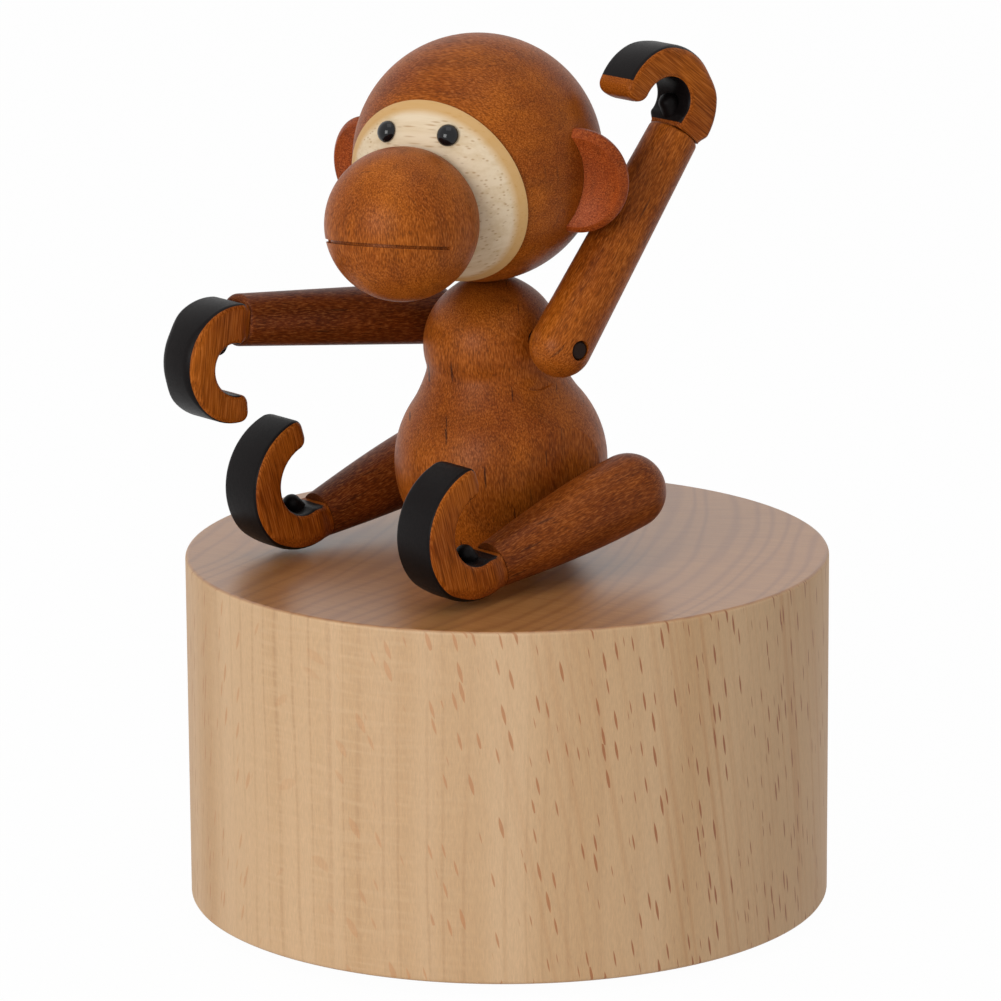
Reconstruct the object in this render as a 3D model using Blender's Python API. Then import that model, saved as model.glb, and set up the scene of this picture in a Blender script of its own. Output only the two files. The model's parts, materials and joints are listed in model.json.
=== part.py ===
"""A wooden music box: a turned beech drum that holds a wound comb movement and, on the
movement's spindle, a jointed wooden toy monkey that sits just clear of the drum and revolves.

Metres, +Z up. The figure faces -Y and its left side is +X. The surface that the box stands on
is z = 0, and the spindle's axis is the Z axis.
"""

import math

import bmesh
import bpy
from mathutils import Matrix, Vector

MM = 0.001
TURN = 2.0 * math.pi

# Fits: the gap between flat faces that rest on each other, round a turning shaft, round a
# glued or pressed peg, and round a screw in its hole
SEAT_GAP = 0.25 * MM
RUNNING_FIT = 0.15 * MM
PEG_FIT = 0.15 * MM
SCREW_FIT = 0.2 * MM
CUT_OVERRUN = 1.0 * MM

# Drum
DRUM_RADIUS = 40.0 * MM
DRUM_HEIGHT = 43.7 * MM
DRUM_LIFT = 1.5 * MM
DRUM_EDGE = 0.6 * MM
CAVITY_WALL = 7.0 * MM
MOUTH_WALL = 3.0 * MM
ROOF = 8.7 * MM

# Base disc with its felt, the brass hub that ties it to the arbor, and the movement's board
FELT_THICKNESS = 1.2 * MM
FELT_MARGIN = 1.2 * MM
DISC_THICKNESS = 4.0 * MM
DISC_CLEARANCE = 0.8 * MM
HUB_RADIUS = 9.0 * MM
HUB_FLANGE = 1.5 * MM
HUB_BOSS_RADIUS = 4.0 * MM
HUB_BOSS = 1.3 * MM
HUB_SCREW_CIRCLE = 6.5 * MM
BOARD_GAP = 0.5 * MM
BOARD_THICKNESS = 3.0 * MM
BOARD_CLEARANCE = 0.5 * MM
BOARD_BORE = 5.0 * MM
BOARD_SCREW_LENGTH = 8.0 * MM

# Screws: shank and head of the wood screws, and of the smaller movement screws
WOOD_SCREW = 0.9 * MM
WOOD_HEAD = 1.6 * MM
WOOD_HEAD_HEIGHT = 0.8 * MM
SMALL_SCREW = 0.7 * MM
SMALL_HEAD = 1.3 * MM
SMALL_HEAD_HEIGHT = 0.7 * MM
MOVEMENT_SCREW_CIRCLE = 10.3 * MM
MOVEMENT_SCREW_BITE = 1.5 * MM
TAPPED_BITE = 3.0 * MM
TAPPED_DEPTH = 4.0 * MM
WOOD_KIND = (WOOD_SCREW, WOOD_HEAD, WOOD_HEAD_HEIGHT)
SMALL_KIND = (SMALL_SCREW, SMALL_HEAD, SMALL_HEAD_HEIGHT)

# Bedplate: a casting with two posts for the bridge, a pad for the comb and an end bearing
BED_THICKNESS = 2.0 * MM
BED_WEST = 12.5 * MM
BED_EAST = 27.5 * MM
BED_HALF_WIDTH = 17.0 * MM
BED_CORNER = 12.0 * MM
POST_RADIUS = 1.8 * MM
POST_OFFSET = 14.6 * MM
END_BEARING_THICKNESS = 1.2 * MM
END_BEARING_HALF_WIDTH = 2.6 * MM
END_BEARING_CREST = 2.2 * MM
COMB_PAD_NEAR = 9.4 * MM
COMB_PAD_FAR = 14.0 * MM

# Spring barrel with its contrate teeth, the arbor through it and the spindle above it
ARBOR_RADIUS = 1.5 * MM
BARREL_RADIUS = 8.5 * MM
BARREL_WALL = 0.6 * MM
BARREL_LIFT = 0.4 * MM
BARREL_HEIGHT = 9.9 * MM
BARREL_FLOOR = 0.8 * MM
CROWN_RADIUS = 11.0 * MM
CROWN_FACE = 2.0 * MM
CROWN_TEETH = 32
COVER_THICKNESS = 0.9 * MM
COVER_SPIGOT = 0.5 * MM
SPINDLE_RADIUS = 1.5 * MM
SPINDLE_IN_TORSO = 11.0 * MM
SPRING_TURNS = 4
SPRING_THICKNESS = 0.35 * MM
SPRING_INNER = 2.6 * MM
CLUTCH_WIRE = 0.5 * MM
CLUTCH_TURNS = 4
CLUTCH_CLEARANCE = 0.2 * MM

# Comb train: heights and places of the cylinder and governor axes over the bedplate
TRAIN_HEIGHT = 8.25 * MM
PINION_TEETH = 8
PINION_FACE = 2.5 * MM
CYLINDER_RADIUS = 4.9 * MM
CYLINDER_WEST = 13.2 * MM
CYLINDER_LENGTH = 10.5 * MM
PIN_HEIGHT = 0.5 * MM
PIN_WIDTH = 0.28 * MM
PIN_ROOT = 0.6 * MM
PIN_STEP = math.radians(137.5)
PINS_PER_TRACK = 2
TRAIN_SHAFT = 0.8 * MM
GEAR_TEETH = 28
GEAR_FACE = 1.4 * MM
GOVERNOR_TEETH = 7
GOVERNOR_OFFSET = 9.0 * MM
GOVERNOR_SHAFT = 0.6 * MM
GEAR_RECESS = 0.2 * MM
WHEEL_TEETH = 16
WHEEL_RADIUS = 2.8 * MM
WHEEL_FACE = 1.4 * MM
WORM_X = 20.5 * MM
WORM_RADIUS = 1.3 * MM
WORM_TURNS = 3.5
WORM_CORE = 0.6 * MM
FAN_REACH = 4.0 * MM
FAN_HEIGHT = 4.5 * MM
FAN_BLADE = 0.3 * MM
TRAIN_GAP = 0.3 * MM

# Tooth shapes, as heights over and under the pitch line and thickness at the root and the tip
TOOTH_TIP = 0.45 * MM
TOOTH_ROOT = 0.7 * MM
TOOTH_ROOT_SHARE = 0.42
TOOTH_TIP_SHARE = 0.2
FINE_TIP = 0.3 * MM
FINE_ROOT = 0.4 * MM

# Governor's cheeks, the bridge over the barrel and the comb
CHEEK_THICKNESS = 0.8 * MM
CHEEK_SPACING = 5.8 * MM
CHEEK_INSET = 0.2 * MM
FRAME_FOOT = 1.5 * MM
FRAME_TOP = 1.2 * MM
FRAME_HEADROOM = 1.6 * MM
FRAME_MARGIN = 1.6 * MM
BRIDGE_THICKNESS = 1.5 * MM
BRIDGE_HALF_WIDTH = 3.4 * MM
BRIDGE_OVER_BARREL = 0.8 * MM
LUG_THICKNESS = 0.8 * MM
LUG_DROP = 1.6 * MM
COMB_TEETH = 18
COMB_PITCH = 0.56 * MM
COMB_TOOTH_WIDTH = 0.36 * MM
COMB_THICKNESS = 0.8 * MM
COMB_TIP_CLEARANCE = 0.2 * MM
COMB_GULLET_RISE = 0.9 * MM

# Bush in the drum's roof and the collar that the figure stands on
BUSH_RADIUS = 3.0 * MM
BUSH_FLANGE = 5.2 * MM
BUSH_FLANGE_THICKNESS = 0.9 * MM
COLLAR_RADIUS = 3.6 * MM
COLLAR_THICKNESS = 0.75 * MM

# Torso: a gourd of two balls with a blended waist, leaning forward over its foot
LEAN = math.radians(5.0)
BELLY_RADIUS = 13.2 * MM
BELLY_RISE = 10.3 * MM
CHEST_RADIUS = 8.5 * MM
CHEST_RISE = 25.3 * MM
WAIST_BLEND = 5.6 * MM
CHEST_TOP = 33.6 * MM
NECK_PEG = 1.6 * MM
NECK_PEG_IN_CHEST = 4.8 * MM
NECK_PEG_IN_HEAD = 10.0 * MM
DOWEL = 1.1 * MM
FLAT_GAP = 0.3 * MM

# Arms and their pose: the left one is thrown up and back, the right one reaches forward
SHOULDER_OFFSET = 12.8 * MM
SHOULDER_BACK = 0.3 * MM
SHOULDER_RISE = 27.0 * MM
ARM_LENGTH = 30.2 * MM
ARM_SHOULDER = 3.85 * MM
ARM_WRIST = 3.2 * MM
ARM_EDGE = 0.4 * MM
LEFT_ARM_POSE = math.radians(-37.5)
RIGHT_ARM_POSE = math.radians(83.5)

# Legs and their pose
HIP_OFFSET = 16.8 * MM
HIP_BACK = 4.2 * MM
HIP_RISE = 7.5 * MM
LEG_LENGTH = 20.6 * MM
LEG_HIP = 4.7 * MM
LEG_HEEL_OF_HIP = 1.8 * MM
LEG_ANKLE = 2.9 * MM
LEG_BORE_DEPTH = 2.5 * MM
LEFT_LEG_POSE = math.radians(104.5)
RIGHT_LEG_POSE = math.radians(104.5)

# Hands and feet: mittens curled on a widening arc, on tenons turned on the limbs' ends
TENON = 1.2 * MM
TENON_LENGTH = 3.0 * MM
HAND_STRAIGHT = 1.5 * MM
HAND_CURL_START = 4.7 * MM
HAND_CURL_END = 5.9 * MM
HAND_SWEEP = math.radians(190.0)
HAND_THICKNESS = 2.5 * MM
HAND_HALF_WIDTH = 3.4 * MM
HAND_TIP = 1.7 * MM
FOOT_STRAIGHT = 2.6 * MM
FOOT_CURL_START = 5.2 * MM
FOOT_CURL_END = 7.3 * MM
FOOT_SWEEP = math.radians(178.0)
FOOT_THICKNESS = 2.5 * MM
FOOT_HALF_WIDTH = 3.5 * MM
FOOT_TIP = 1.9 * MM
MITTEN_SQUARENESS = 0.6
THUMB_RADIUS = 1.2 * MM
THUMB_LENGTH = 2.6 * MM
THUMB_ROOT = 1.0 * MM
THUMB_RISE = 0.4 * MM
THUMB_LEAN = math.radians(62.0)

# Head: an oblate ball cut flat in front for a pale face cap, on which the muzzle sits
HEAD_RADIUS = 15.3 * MM
HEAD_HALF_HEIGHT = 15.2 * MM
HEAD_FOOT = 15.0 * MM
HEAD_TURN = math.radians(20.5)
FACE_PITCH = math.radians(-10.3)
FACE_FLAT = 9.7 * MM
FACE_PROUD = 0.35 * MM
MUZZLE_SEAT = 14.0 * MM
MUZZLE_RADIUS = 9.3 * MM
MUZZLE_CENTRE = 19.3 * MM
MOUTH_DROP = 2.4 * MM
MOUTH_TILT = math.radians(-14.0)
MOUTH_BACK = 3.2 * MM
MOUTH_WIDTH = 0.45 * MM
MOUTH_DEPTH = 0.5 * MM
EYE_RADIUS = 1.35 * MM
EYE_PROUD = 0.1 * MM
EYE_SHANK = 0.6 * MM
EYE_SHANK_LENGTH = 2.2 * MM
EYE_SIDE = math.radians(17.0)
EYE_RISE = math.radians(24.0)
EAR_RADIUS = 6.7 * MM
EAR_OFFSET = 14.6 * MM
EAR_DROP = 1.7 * MM
EAR_BACK = 0.2 * MM
EAR_DEPTH = 5.2 * MM
EAR_DISH = 1.1 * MM
EAR_RIM = 0.9 * MM
EAR_OUTWARD = math.radians(15.0)

# Heights of the stack, from the table up
FELT_TOP = FELT_THICKNESS
DISC_LOW = FELT_TOP + SEAT_GAP
DISC_TOP = DISC_LOW + DISC_THICKNESS
HUB_LOW = DISC_TOP + SEAT_GAP
HUB_FLANGE_TOP = HUB_LOW + HUB_FLANGE
HUB_TOP = HUB_FLANGE_TOP + HUB_BOSS
BOARD_LOW = HUB_TOP + BOARD_GAP
BOARD_TOP = BOARD_LOW + BOARD_THICKNESS
BED_LOW = BOARD_TOP + SEAT_GAP
BED_TOP = BED_LOW + BED_THICKNESS
DRUM_TOP = DRUM_LIFT + DRUM_HEIGHT
CEILING = DRUM_TOP - ROOF
LEDGE = BOARD_TOP + SEAT_GAP
COLLAR_LOW = DRUM_TOP + SEAT_GAP
COLLAR_TOP = COLLAR_LOW + COLLAR_THICKNESS
TORSO_FOOT = COLLAR_TOP + SEAT_GAP

# Radii worked out from the drum's walls
CAVITY_RADIUS = DRUM_RADIUS - CAVITY_WALL
MOUTH_RADIUS = DRUM_RADIUS - MOUTH_WALL
BOARD_RADIUS = MOUTH_RADIUS - BOARD_CLEARANCE
DISC_RADIUS = MOUTH_RADIUS - DISC_CLEARANCE
FELT_RADIUS = DISC_RADIUS - FELT_MARGIN
LEDGE_MIDDLE = 0.5 * (CAVITY_RADIUS + MOUTH_RADIUS)

# Places in the movement
TRAIN_Z = BED_TOP + TRAIN_HEIGHT
BARREL_LOW = BED_TOP + BARREL_LIFT
BARREL_TOP = BARREL_LOW + BARREL_HEIGHT
COVER_LOW = BARREL_TOP + SEAT_GAP
COVER_TOP = COVER_LOW + COVER_THICKNESS
BRIDGE_LOW = COVER_TOP + BRIDGE_OVER_BARREL
BRIDGE_TOP = BRIDGE_LOW + BRIDGE_THICKNESS
POST_TOP = BRIDGE_LOW - SEAT_GAP
CROWN_INNER = CROWN_RADIUS - 0.5 * CROWN_FACE
CROWN_OUTER = CROWN_RADIUS + 0.5 * CROWN_FACE
PINION_RADIUS = CROWN_RADIUS * PINION_TEETH / CROWN_TEETH
CROWN_PITCH_Z = TRAIN_Z - PINION_RADIUS
CYLINDER_EAST = CYLINDER_WEST + CYLINDER_LENGTH
PINION_EAST = CYLINDER_WEST - TRAIN_GAP
PINION_WEST = PINION_EAST - PINION_FACE
LUG_EAST = PINION_WEST - TRAIN_GAP
LUG_WEST = LUG_EAST - LUG_THICKNESS
GEAR_WEST = CYLINDER_EAST + TRAIN_GAP
GEAR_EAST = GEAR_WEST + GEAR_FACE
END_BEARING_WEST = GEAR_EAST + TRAIN_GAP
END_BEARING_EAST = END_BEARING_WEST + END_BEARING_THICKNESS
GEAR_RADIUS = GOVERNOR_OFFSET * GEAR_TEETH / (GEAR_TEETH + GOVERNOR_TEETH)
GOVERNOR_RADIUS = GOVERNOR_OFFSET - GEAR_RADIUS
WORM_Y = GOVERNOR_OFFSET + WHEEL_RADIUS + WORM_RADIUS
WORM_LEAD = TURN * WHEEL_RADIUS / WHEEL_TEETH
CHEEK_WEST = WORM_X - 0.5 * CHEEK_SPACING
CHEEK_EAST = CHEEK_WEST + CHEEK_SPACING
FRAME_SCREW_X = CHEEK_WEST - SMALL_HEAD - TRAIN_GAP
FRAME_WEST = FRAME_SCREW_X - SMALL_HEAD - TRAIN_GAP
FRAME_BACK = GOVERNOR_OFFSET - FRAME_MARGIN
FRAME_FRONT = WORM_Y + FRAME_MARGIN
FRAME_LOW = BED_TOP + SEAT_GAP
FRAME_FOOT_TOP = FRAME_LOW + FRAME_FOOT
ARM_BEARING_LOW = TRAIN_Z + WHEEL_RADIUS + FINE_TIP + FRAME_HEADROOM
ARM_BEARING_TOP = ARM_BEARING_LOW + FRAME_TOP
FAN_LOW = ARM_BEARING_TOP + SEAT_GAP
COMB_TIP = CYLINDER_RADIUS + PIN_HEIGHT + COMB_TIP_CLEARANCE
COMB_LOW = TRAIN_Z - 0.5 * COMB_THICKNESS
COMB_PAD_TOP = COMB_LOW - SEAT_GAP

# Places on the figure, in the torso's leaning frame
HEAD_RISE = CHEST_TOP + SEAT_GAP + HEAD_FOOT
CHEST_FLAT = SHOULDER_OFFSET - ARM_SHOULDER - FLAT_GAP
HIP_FLAT = HIP_OFFSET - LEG_HIP - FLAT_GAP
SHOULDER_DOWEL_END = SHOULDER_OFFSET + ARM_SHOULDER - SEAT_GAP
HIP_DOWEL_END = HIP_OFFSET + LEG_BORE_DEPTH

# Sides of the round pieces, by size
DRUM_SIDES = 48
WIDE_SIDES = 32
FIGURE_SIDES = 24
EAR_SIDES = 20
LIMB_SIDES = 14
BORE_SIDES = 12
MITTEN_SIDES = 12
SMALL_SIDES = 10
SCREW_SIDES = 8

# Finishes: sRGB colour, roughness and metallic value
FINISHES = {
    "raw_beech": ("D6B68C", 0.55, 0.0),
    "stained_beech": ("8A4A22", 0.42, 0.0),
    "dark_stain": ("231B18", 0.5, 0.0),
    "pale_maple": ("E4CFAE", 0.5, 0.0),
    "black_bead": ("0A0A0A", 0.12, 0.0),
    "birch_ply": ("CDAF84", 0.6, 0.0),
    "felt": ("3B4A3C", 0.95, 0.0),
    "zinc_casting": ("A9ABAC", 0.45, 1.0),
    "brass": ("C9A45B", 0.3, 1.0),
    "spring_steel": ("8C9096", 0.3, 1.0),
    "nylon": ("E9E5DA", 0.5, 0.0),
}


def linear(channel):
    """One sRGB channel, 0 to 1, as a linear value."""
    if channel <= 0.04045:
        return channel / 12.92
    return ((channel + 0.055) / 1.055) ** 2.4


def finish(name):
    """The material of a finish, made on its first use."""
    if name in bpy.data.materials:
        return bpy.data.materials[name]
    code, roughness, metallic = FINISHES[name]
    rgb = [linear(int(code[i : i + 2], 16) / 255.0) for i in (0, 2, 4)]
    material = bpy.data.materials.new(name)
    material.use_nodes = True
    shader = material.node_tree.nodes["Principled BSDF"]
    shader.inputs["Base Color"].default_value = (*rgb, 1.0)
    shader.inputs["Roughness"].default_value = roughness
    shader.inputs["Metallic"].default_value = metallic
    return material


def joint_axis(name, parent=None, at=(0.0, 0.0, 0.0), turn=(0.0, 0.0, 0.0)):
    """An empty on a joint's axis; whatever turns about the joint hangs from it."""
    empty = bpy.data.objects.new(name, None)
    empty.parent = parent
    empty.location = at
    empty.rotation_euler = turn
    empty.empty_display_size = 5.0 * MM
    bpy.context.collection.objects.link(empty)
    return empty


def piece(name, bm, look, parent, crease=35.0, at=(0.0, 0.0, 0.0)):
    """An object from a bmesh, shaded smooth but for edges sharper than the crease angle."""
    bmesh.ops.recalc_face_normals(bm, faces=bm.faces)
    mesh = bpy.data.meshes.new(name)
    bm.to_mesh(mesh)
    bm.free()
    mesh.shade_smooth()
    mesh.set_sharp_from_angle(angle=math.radians(crease))
    mesh.materials.append(finish(look))
    obj = bpy.data.objects.new(name, mesh)
    obj.parent = parent
    obj.location = at
    bpy.context.collection.objects.link(obj)
    return obj


def carve(target, cutter, operation="DIFFERENCE"):
    """Cut, or join, a closed bmesh from or to an object, in the object's own frame."""
    bmesh.ops.recalc_face_normals(cutter, faces=cutter.faces)
    name = f"{target.name}.{operation.lower()}"
    mesh = bpy.data.meshes.new(name)
    cutter.to_mesh(mesh)
    cutter.free()
    tool = bpy.data.objects.new(name, mesh)
    tool.parent = target.parent
    tool.location = target.location
    tool.hide_render = True
    tool.display_type = "WIRE"
    bpy.context.collection.objects.link(tool)
    boolean = target.modifiers.new(operation.title(), "BOOLEAN")
    boolean.operation = operation
    boolean.solver = "EXACT"
    boolean.object = tool


def moved(bm, matrix):
    """The bmesh after a transform."""
    bmesh.ops.transform(bm, matrix=matrix, verts=bm.verts)
    return bm


def shifted(bm, x=0.0, y=0.0, z=0.0):
    """The bmesh after a move."""
    return moved(bm, Matrix.Translation((x, y, z)))


def joined(*parts):
    """Several bmeshes as one, their shells kept apart."""
    whole = bmesh.new()
    for part in parts:
        mesh = bpy.data.meshes.new("joined")
        part.to_mesh(mesh)
        part.free()
        whole.from_mesh(mesh)
        bpy.data.meshes.remove(mesh)
    return whole


def turned(profile, sides):
    """A body of revolution about Z. A profile from axis to axis is solid, any other a ring."""
    bm = bmesh.new()
    points = [bm.verts.new((radius, 0.0, z)) for radius, z in profile]
    edges = [bm.edges.new(pair) for pair in zip(points, points[1:])]
    if profile[0][0] > 0.0:
        edges.append(bm.edges.new((points[-1], points[0])))
    bmesh.ops.spin(
        bm, geom=points + edges, cent=(0, 0, 0), axis=(0, 0, 1), angle=TURN, steps=sides, use_merge=True
    )
    bmesh.ops.remove_doubles(bm, verts=bm.verts, dist=1e-7)
    bmesh.ops.recalc_face_normals(bm, faces=bm.faces)
    return bm


def rod(radius, low, high, sides=BORE_SIDES):
    """A plain cylinder about Z."""
    return turned([(0.0, low), (radius, low), (radius, high), (0.0, high)], sides)


def ring(inner, outer, low, high, sides):
    """A plain ring about Z."""
    return turned([(inner, low), (outer, low), (outer, high), (inner, high)], sides)


def along_x(bm):
    """A body made about Z, laid so that its Z runs along +X and its X down."""
    return moved(bm, Matrix.Rotation(0.5 * math.pi, 4, "Y"))


def block(low, high):
    """A box between two corners."""
    bm = bmesh.new()
    size = Vector(high) - Vector(low)
    middle = 0.5 * (Vector(high) + Vector(low))
    bmesh.ops.create_cube(bm, size=1.0, matrix=Matrix.Translation(middle) @ Matrix.Diagonal((*size, 1.0)))
    return bm


def circle(radius, sides=SCREW_SIDES, x=0.0, y=0.0):
    """Points of a circle."""
    angles = [TURN * k / sides for k in range(sides)]
    return [(x + radius * math.cos(a), y + radius * math.sin(a)) for a in angles]


def rectangle(west, east, back, front):
    """Corners of a rectangle."""
    return [(west, back), (east, back), (east, front), (west, front)]


def plate(outline, low, high, holes=()):
    """An outline with holes, extruded from low to high."""
    bm = bmesh.new()
    edges = []
    for loop in (outline, *holes):
        points = [bm.verts.new((x, y, low)) for x, y in loop]
        edges += [bm.edges.new((points[k - 1], points[k])) for k in range(len(points))]
    filled = bmesh.ops.triangle_fill(bm, edges=edges, use_beauty=True, use_dissolve=False)
    faces = [item for item in filled["geom"] if isinstance(item, bmesh.types.BMFace)]
    raised = bmesh.ops.extrude_face_region(bm, geom=faces)
    points = [item for item in raised["geom"] if isinstance(item, bmesh.types.BMVert)]
    bmesh.ops.translate(bm, vec=(0.0, 0.0, high - low), verts=points)
    bmesh.ops.recalc_face_normals(bm, faces=bm.faces)
    return bm


def loft(rings):
    """A body through rings of points, closed by a flat face at each end."""
    bm = bmesh.new()
    loops = [[bm.verts.new(point) for point in points] for points in rings]
    count = len(loops[0])
    for here, there in zip(loops, loops[1:]):
        for k in range(count):
            bm.faces.new((here[k - 1], here[k], there[k], there[k - 1]))
    bm.faces.new(loops[0])
    bm.faces.new(loops[-1])
    bmesh.ops.recalc_face_normals(bm, faces=bm.faces)
    return bm


def slice_off(bm, point, normal):
    """Cut the body at a plane, drop what lies beyond it and close the cut."""
    geometry = bm.verts[:] + bm.edges[:] + bm.faces[:]
    cut = bmesh.ops.bisect_plane(
        bm, geom=geometry, dist=1e-7, plane_co=point, plane_no=normal, clear_outer=True
    )
    rim = [item for item in cut["geom_cut"] if isinstance(item, bmesh.types.BMEdge)]
    bmesh.ops.holes_fill(bm, edges=rim)
    return bm


def gear_outline(teeth, pitch_radius, tip, root, phase=0.0):
    """Points round a gear of straight-sided teeth, one of them centred on the phase angle."""
    step = TURN / teeth
    low, high = pitch_radius - root, pitch_radius + tip
    corners = [
        (low, -0.5 * TOOTH_ROOT_SHARE),
        (high, -0.5 * TOOTH_TIP_SHARE),
        (high, 0.5 * TOOTH_TIP_SHARE),
        (low, 0.5 * TOOTH_ROOT_SHARE),
    ]
    places = [(radius, phase + step * (k + share)) for k in range(teeth) for radius, share in corners]
    return [(radius * math.cos(angle), radius * math.sin(angle)) for radius, angle in places]


def fasten(name, places, seat, kind, length, parent=None, driven="up"):
    """Cheese-head screws of one kind, each its own object, with their heads' seats at one height."""
    shank, head, head_height = kind
    profile = [(0.0, -head_height), (head, -head_height), (head, 0.0)]
    profile += [(shank, 0.0), (shank, length), (0.0, length)]
    bm = turned(profile, SCREW_SIDES)
    if driven == "down":
        moved(bm, Matrix.Rotation(math.pi, 4, "X"))
    x, y = places[0]
    first = piece(f"{name}_1", bm, "spring_steel", parent, at=(x, y, seat))
    for number, (x, y) in enumerate(places[1:], 2):
        copy = first.copy()
        copy.name = f"{name}_{number}"
        copy.location = (x, y, seat)
        bpy.context.collection.objects.link(copy)


def places_round(count, radius, start=0.0):
    """Points evenly round a circle."""
    angles = [start + TURN * k / count for k in range(count)]
    return [(radius * math.cos(a), radius * math.sin(a)) for a in angles]


BOARD_SCREWS = places_round(3, LEDGE_MIDDLE, math.radians(90.0))
HUB_SCREWS = places_round(3, HUB_SCREW_CIRCLE, math.radians(30.0))
MOVEMENT_SCREWS = places_round(3, MOVEMENT_SCREW_CIRCLE, math.radians(180.0))
POSTS = [(0.0, POST_OFFSET), (0.0, -POST_OFFSET)]
COMB_SCREWS = [
    (CYLINDER_WEST + CYLINDER_LENGTH * share, -0.5 * (COMB_PAD_NEAR + COMB_PAD_FAR))
    for share in (0.12, 0.5, 0.88)
]
FRAME_SCREWS = [
    (FRAME_SCREW_X, FRAME_BACK + SMALL_HEAD + TRAIN_GAP),
    (FRAME_SCREW_X, FRAME_FRONT - SMALL_HEAD - TRAIN_GAP),
]


def make_drum():
    """The drum: one turned block with a rounded edge, bored out from below in two steps."""
    edge, half = DRUM_EDGE, DRUM_EDGE * (1.0 - math.sqrt(0.5))
    bush_hole = BUSH_RADIUS + PEG_FIT
    profile = [
        (bush_hole, DRUM_TOP),
        (DRUM_RADIUS - edge, DRUM_TOP),
        (DRUM_RADIUS - half, DRUM_TOP - half),
        (DRUM_RADIUS, DRUM_TOP - edge),
        (DRUM_RADIUS, DRUM_LIFT + edge),
        (DRUM_RADIUS - half, DRUM_LIFT + half),
        (DRUM_RADIUS - edge, DRUM_LIFT),
        (MOUTH_RADIUS, DRUM_LIFT),
        (MOUTH_RADIUS, LEDGE),
        (CAVITY_RADIUS, LEDGE),
        (CAVITY_RADIUS, CEILING),
        (bush_hole, CEILING),
    ]
    drum = piece("drum_shell", turned(profile, DRUM_SIDES), "raw_beech", None)
    depth = BOARD_LOW + BOARD_SCREW_LENGTH + SEAT_GAP
    pilots = [
        shifted(rod(WOOD_SCREW + PEG_FIT, LEDGE - CUT_OVERRUN, depth, SCREW_SIDES), x, y)
        for x, y in BOARD_SCREWS
    ]
    carve(drum, joined(*pilots))


def make_base(winding):
    """The felt, the base disc, the hub under the arbor and the hub's screws."""
    piece("felt_pad", rod(FELT_RADIUS, 0.0, FELT_TOP, WIDE_SIDES), "felt", winding)
    disc = plate(
        circle(DISC_RADIUS, WIDE_SIDES), DISC_LOW, DISC_TOP,
        [circle(WOOD_SCREW + PEG_FIT, SCREW_SIDES, x, y) for x, y in HUB_SCREWS],
    )  # fmt: skip
    piece("winding_disc", disc, "raw_beech", winding)
    flange = plate(
        circle(HUB_RADIUS, WIDE_SIDES), HUB_LOW, HUB_FLANGE_TOP,
        [circle(WOOD_SCREW + SCREW_FIT, SCREW_SIDES, x, y) for x, y in HUB_SCREWS],
    )  # fmt: skip
    hub = piece("winding_hub", flange, "brass", winding)
    carve(hub, rod(HUB_BOSS_RADIUS, HUB_LOW + 0.5 * HUB_FLANGE, HUB_TOP), "UNION")
    carve(hub, rod(ARBOR_RADIUS + PEG_FIT, HUB_LOW + SEAT_GAP, HUB_TOP + CUT_OVERRUN))
    length = HUB_FLANGE + SEAT_GAP + 0.8 * DISC_THICKNESS
    fasten("hub_screw", HUB_SCREWS, HUB_FLANGE_TOP + SEAT_GAP, WOOD_KIND, length, winding, "down")
    arbor = rod(ARBOR_RADIUS, HUB_LOW + 2.0 * SEAT_GAP, BARREL_TOP - COVER_SPIGOT - SEAT_GAP)
    piece("winding_arbor", arbor, "spring_steel", winding)


def make_board():
    """The plywood board that closes the cavity and carries the movement, and its screws."""
    holes = [circle(BOARD_BORE, BORE_SIDES)]
    holes += [circle(WOOD_SCREW + SCREW_FIT, SCREW_SIDES, x, y) for x, y in BOARD_SCREWS]
    holes += [circle(SMALL_SCREW + SCREW_FIT, SCREW_SIDES, x, y) for x, y in MOVEMENT_SCREWS]
    board = plate(circle(BOARD_RADIUS, WIDE_SIDES), BOARD_LOW, BOARD_TOP, holes)
    piece("movement_board", board, "birch_ply", None)
    seat = BOARD_LOW - SEAT_GAP
    fasten("board_screw", BOARD_SCREWS, seat, WOOD_KIND, BOARD_SCREW_LENGTH)
    length = BOARD_THICKNESS + 2.0 * SEAT_GAP + MOVEMENT_SCREW_BITE
    fasten("movement_screw", MOVEMENT_SCREWS, seat, SMALL_KIND, length)


def bed_outline():
    """The bedplate's outline: a rectangle with rounded corners."""
    steps = 3
    corners = [
        (BED_EAST - BED_CORNER, BED_HALF_WIDTH - BED_CORNER, 0.0),
        (BED_CORNER - BED_WEST, BED_HALF_WIDTH - BED_CORNER, 90.0),
        (BED_CORNER - BED_WEST, BED_CORNER - BED_HALF_WIDTH, 180.0),
        (BED_EAST - BED_CORNER, BED_CORNER - BED_HALF_WIDTH, 270.0),
    ]
    points = []
    for x, y, start in corners:
        angles = [math.radians(start + 90.0 * k / steps) for k in range(steps + 1)]
        points += [(x + BED_CORNER * math.cos(a), y + BED_CORNER * math.sin(a)) for a in angles]
    return points


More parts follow.
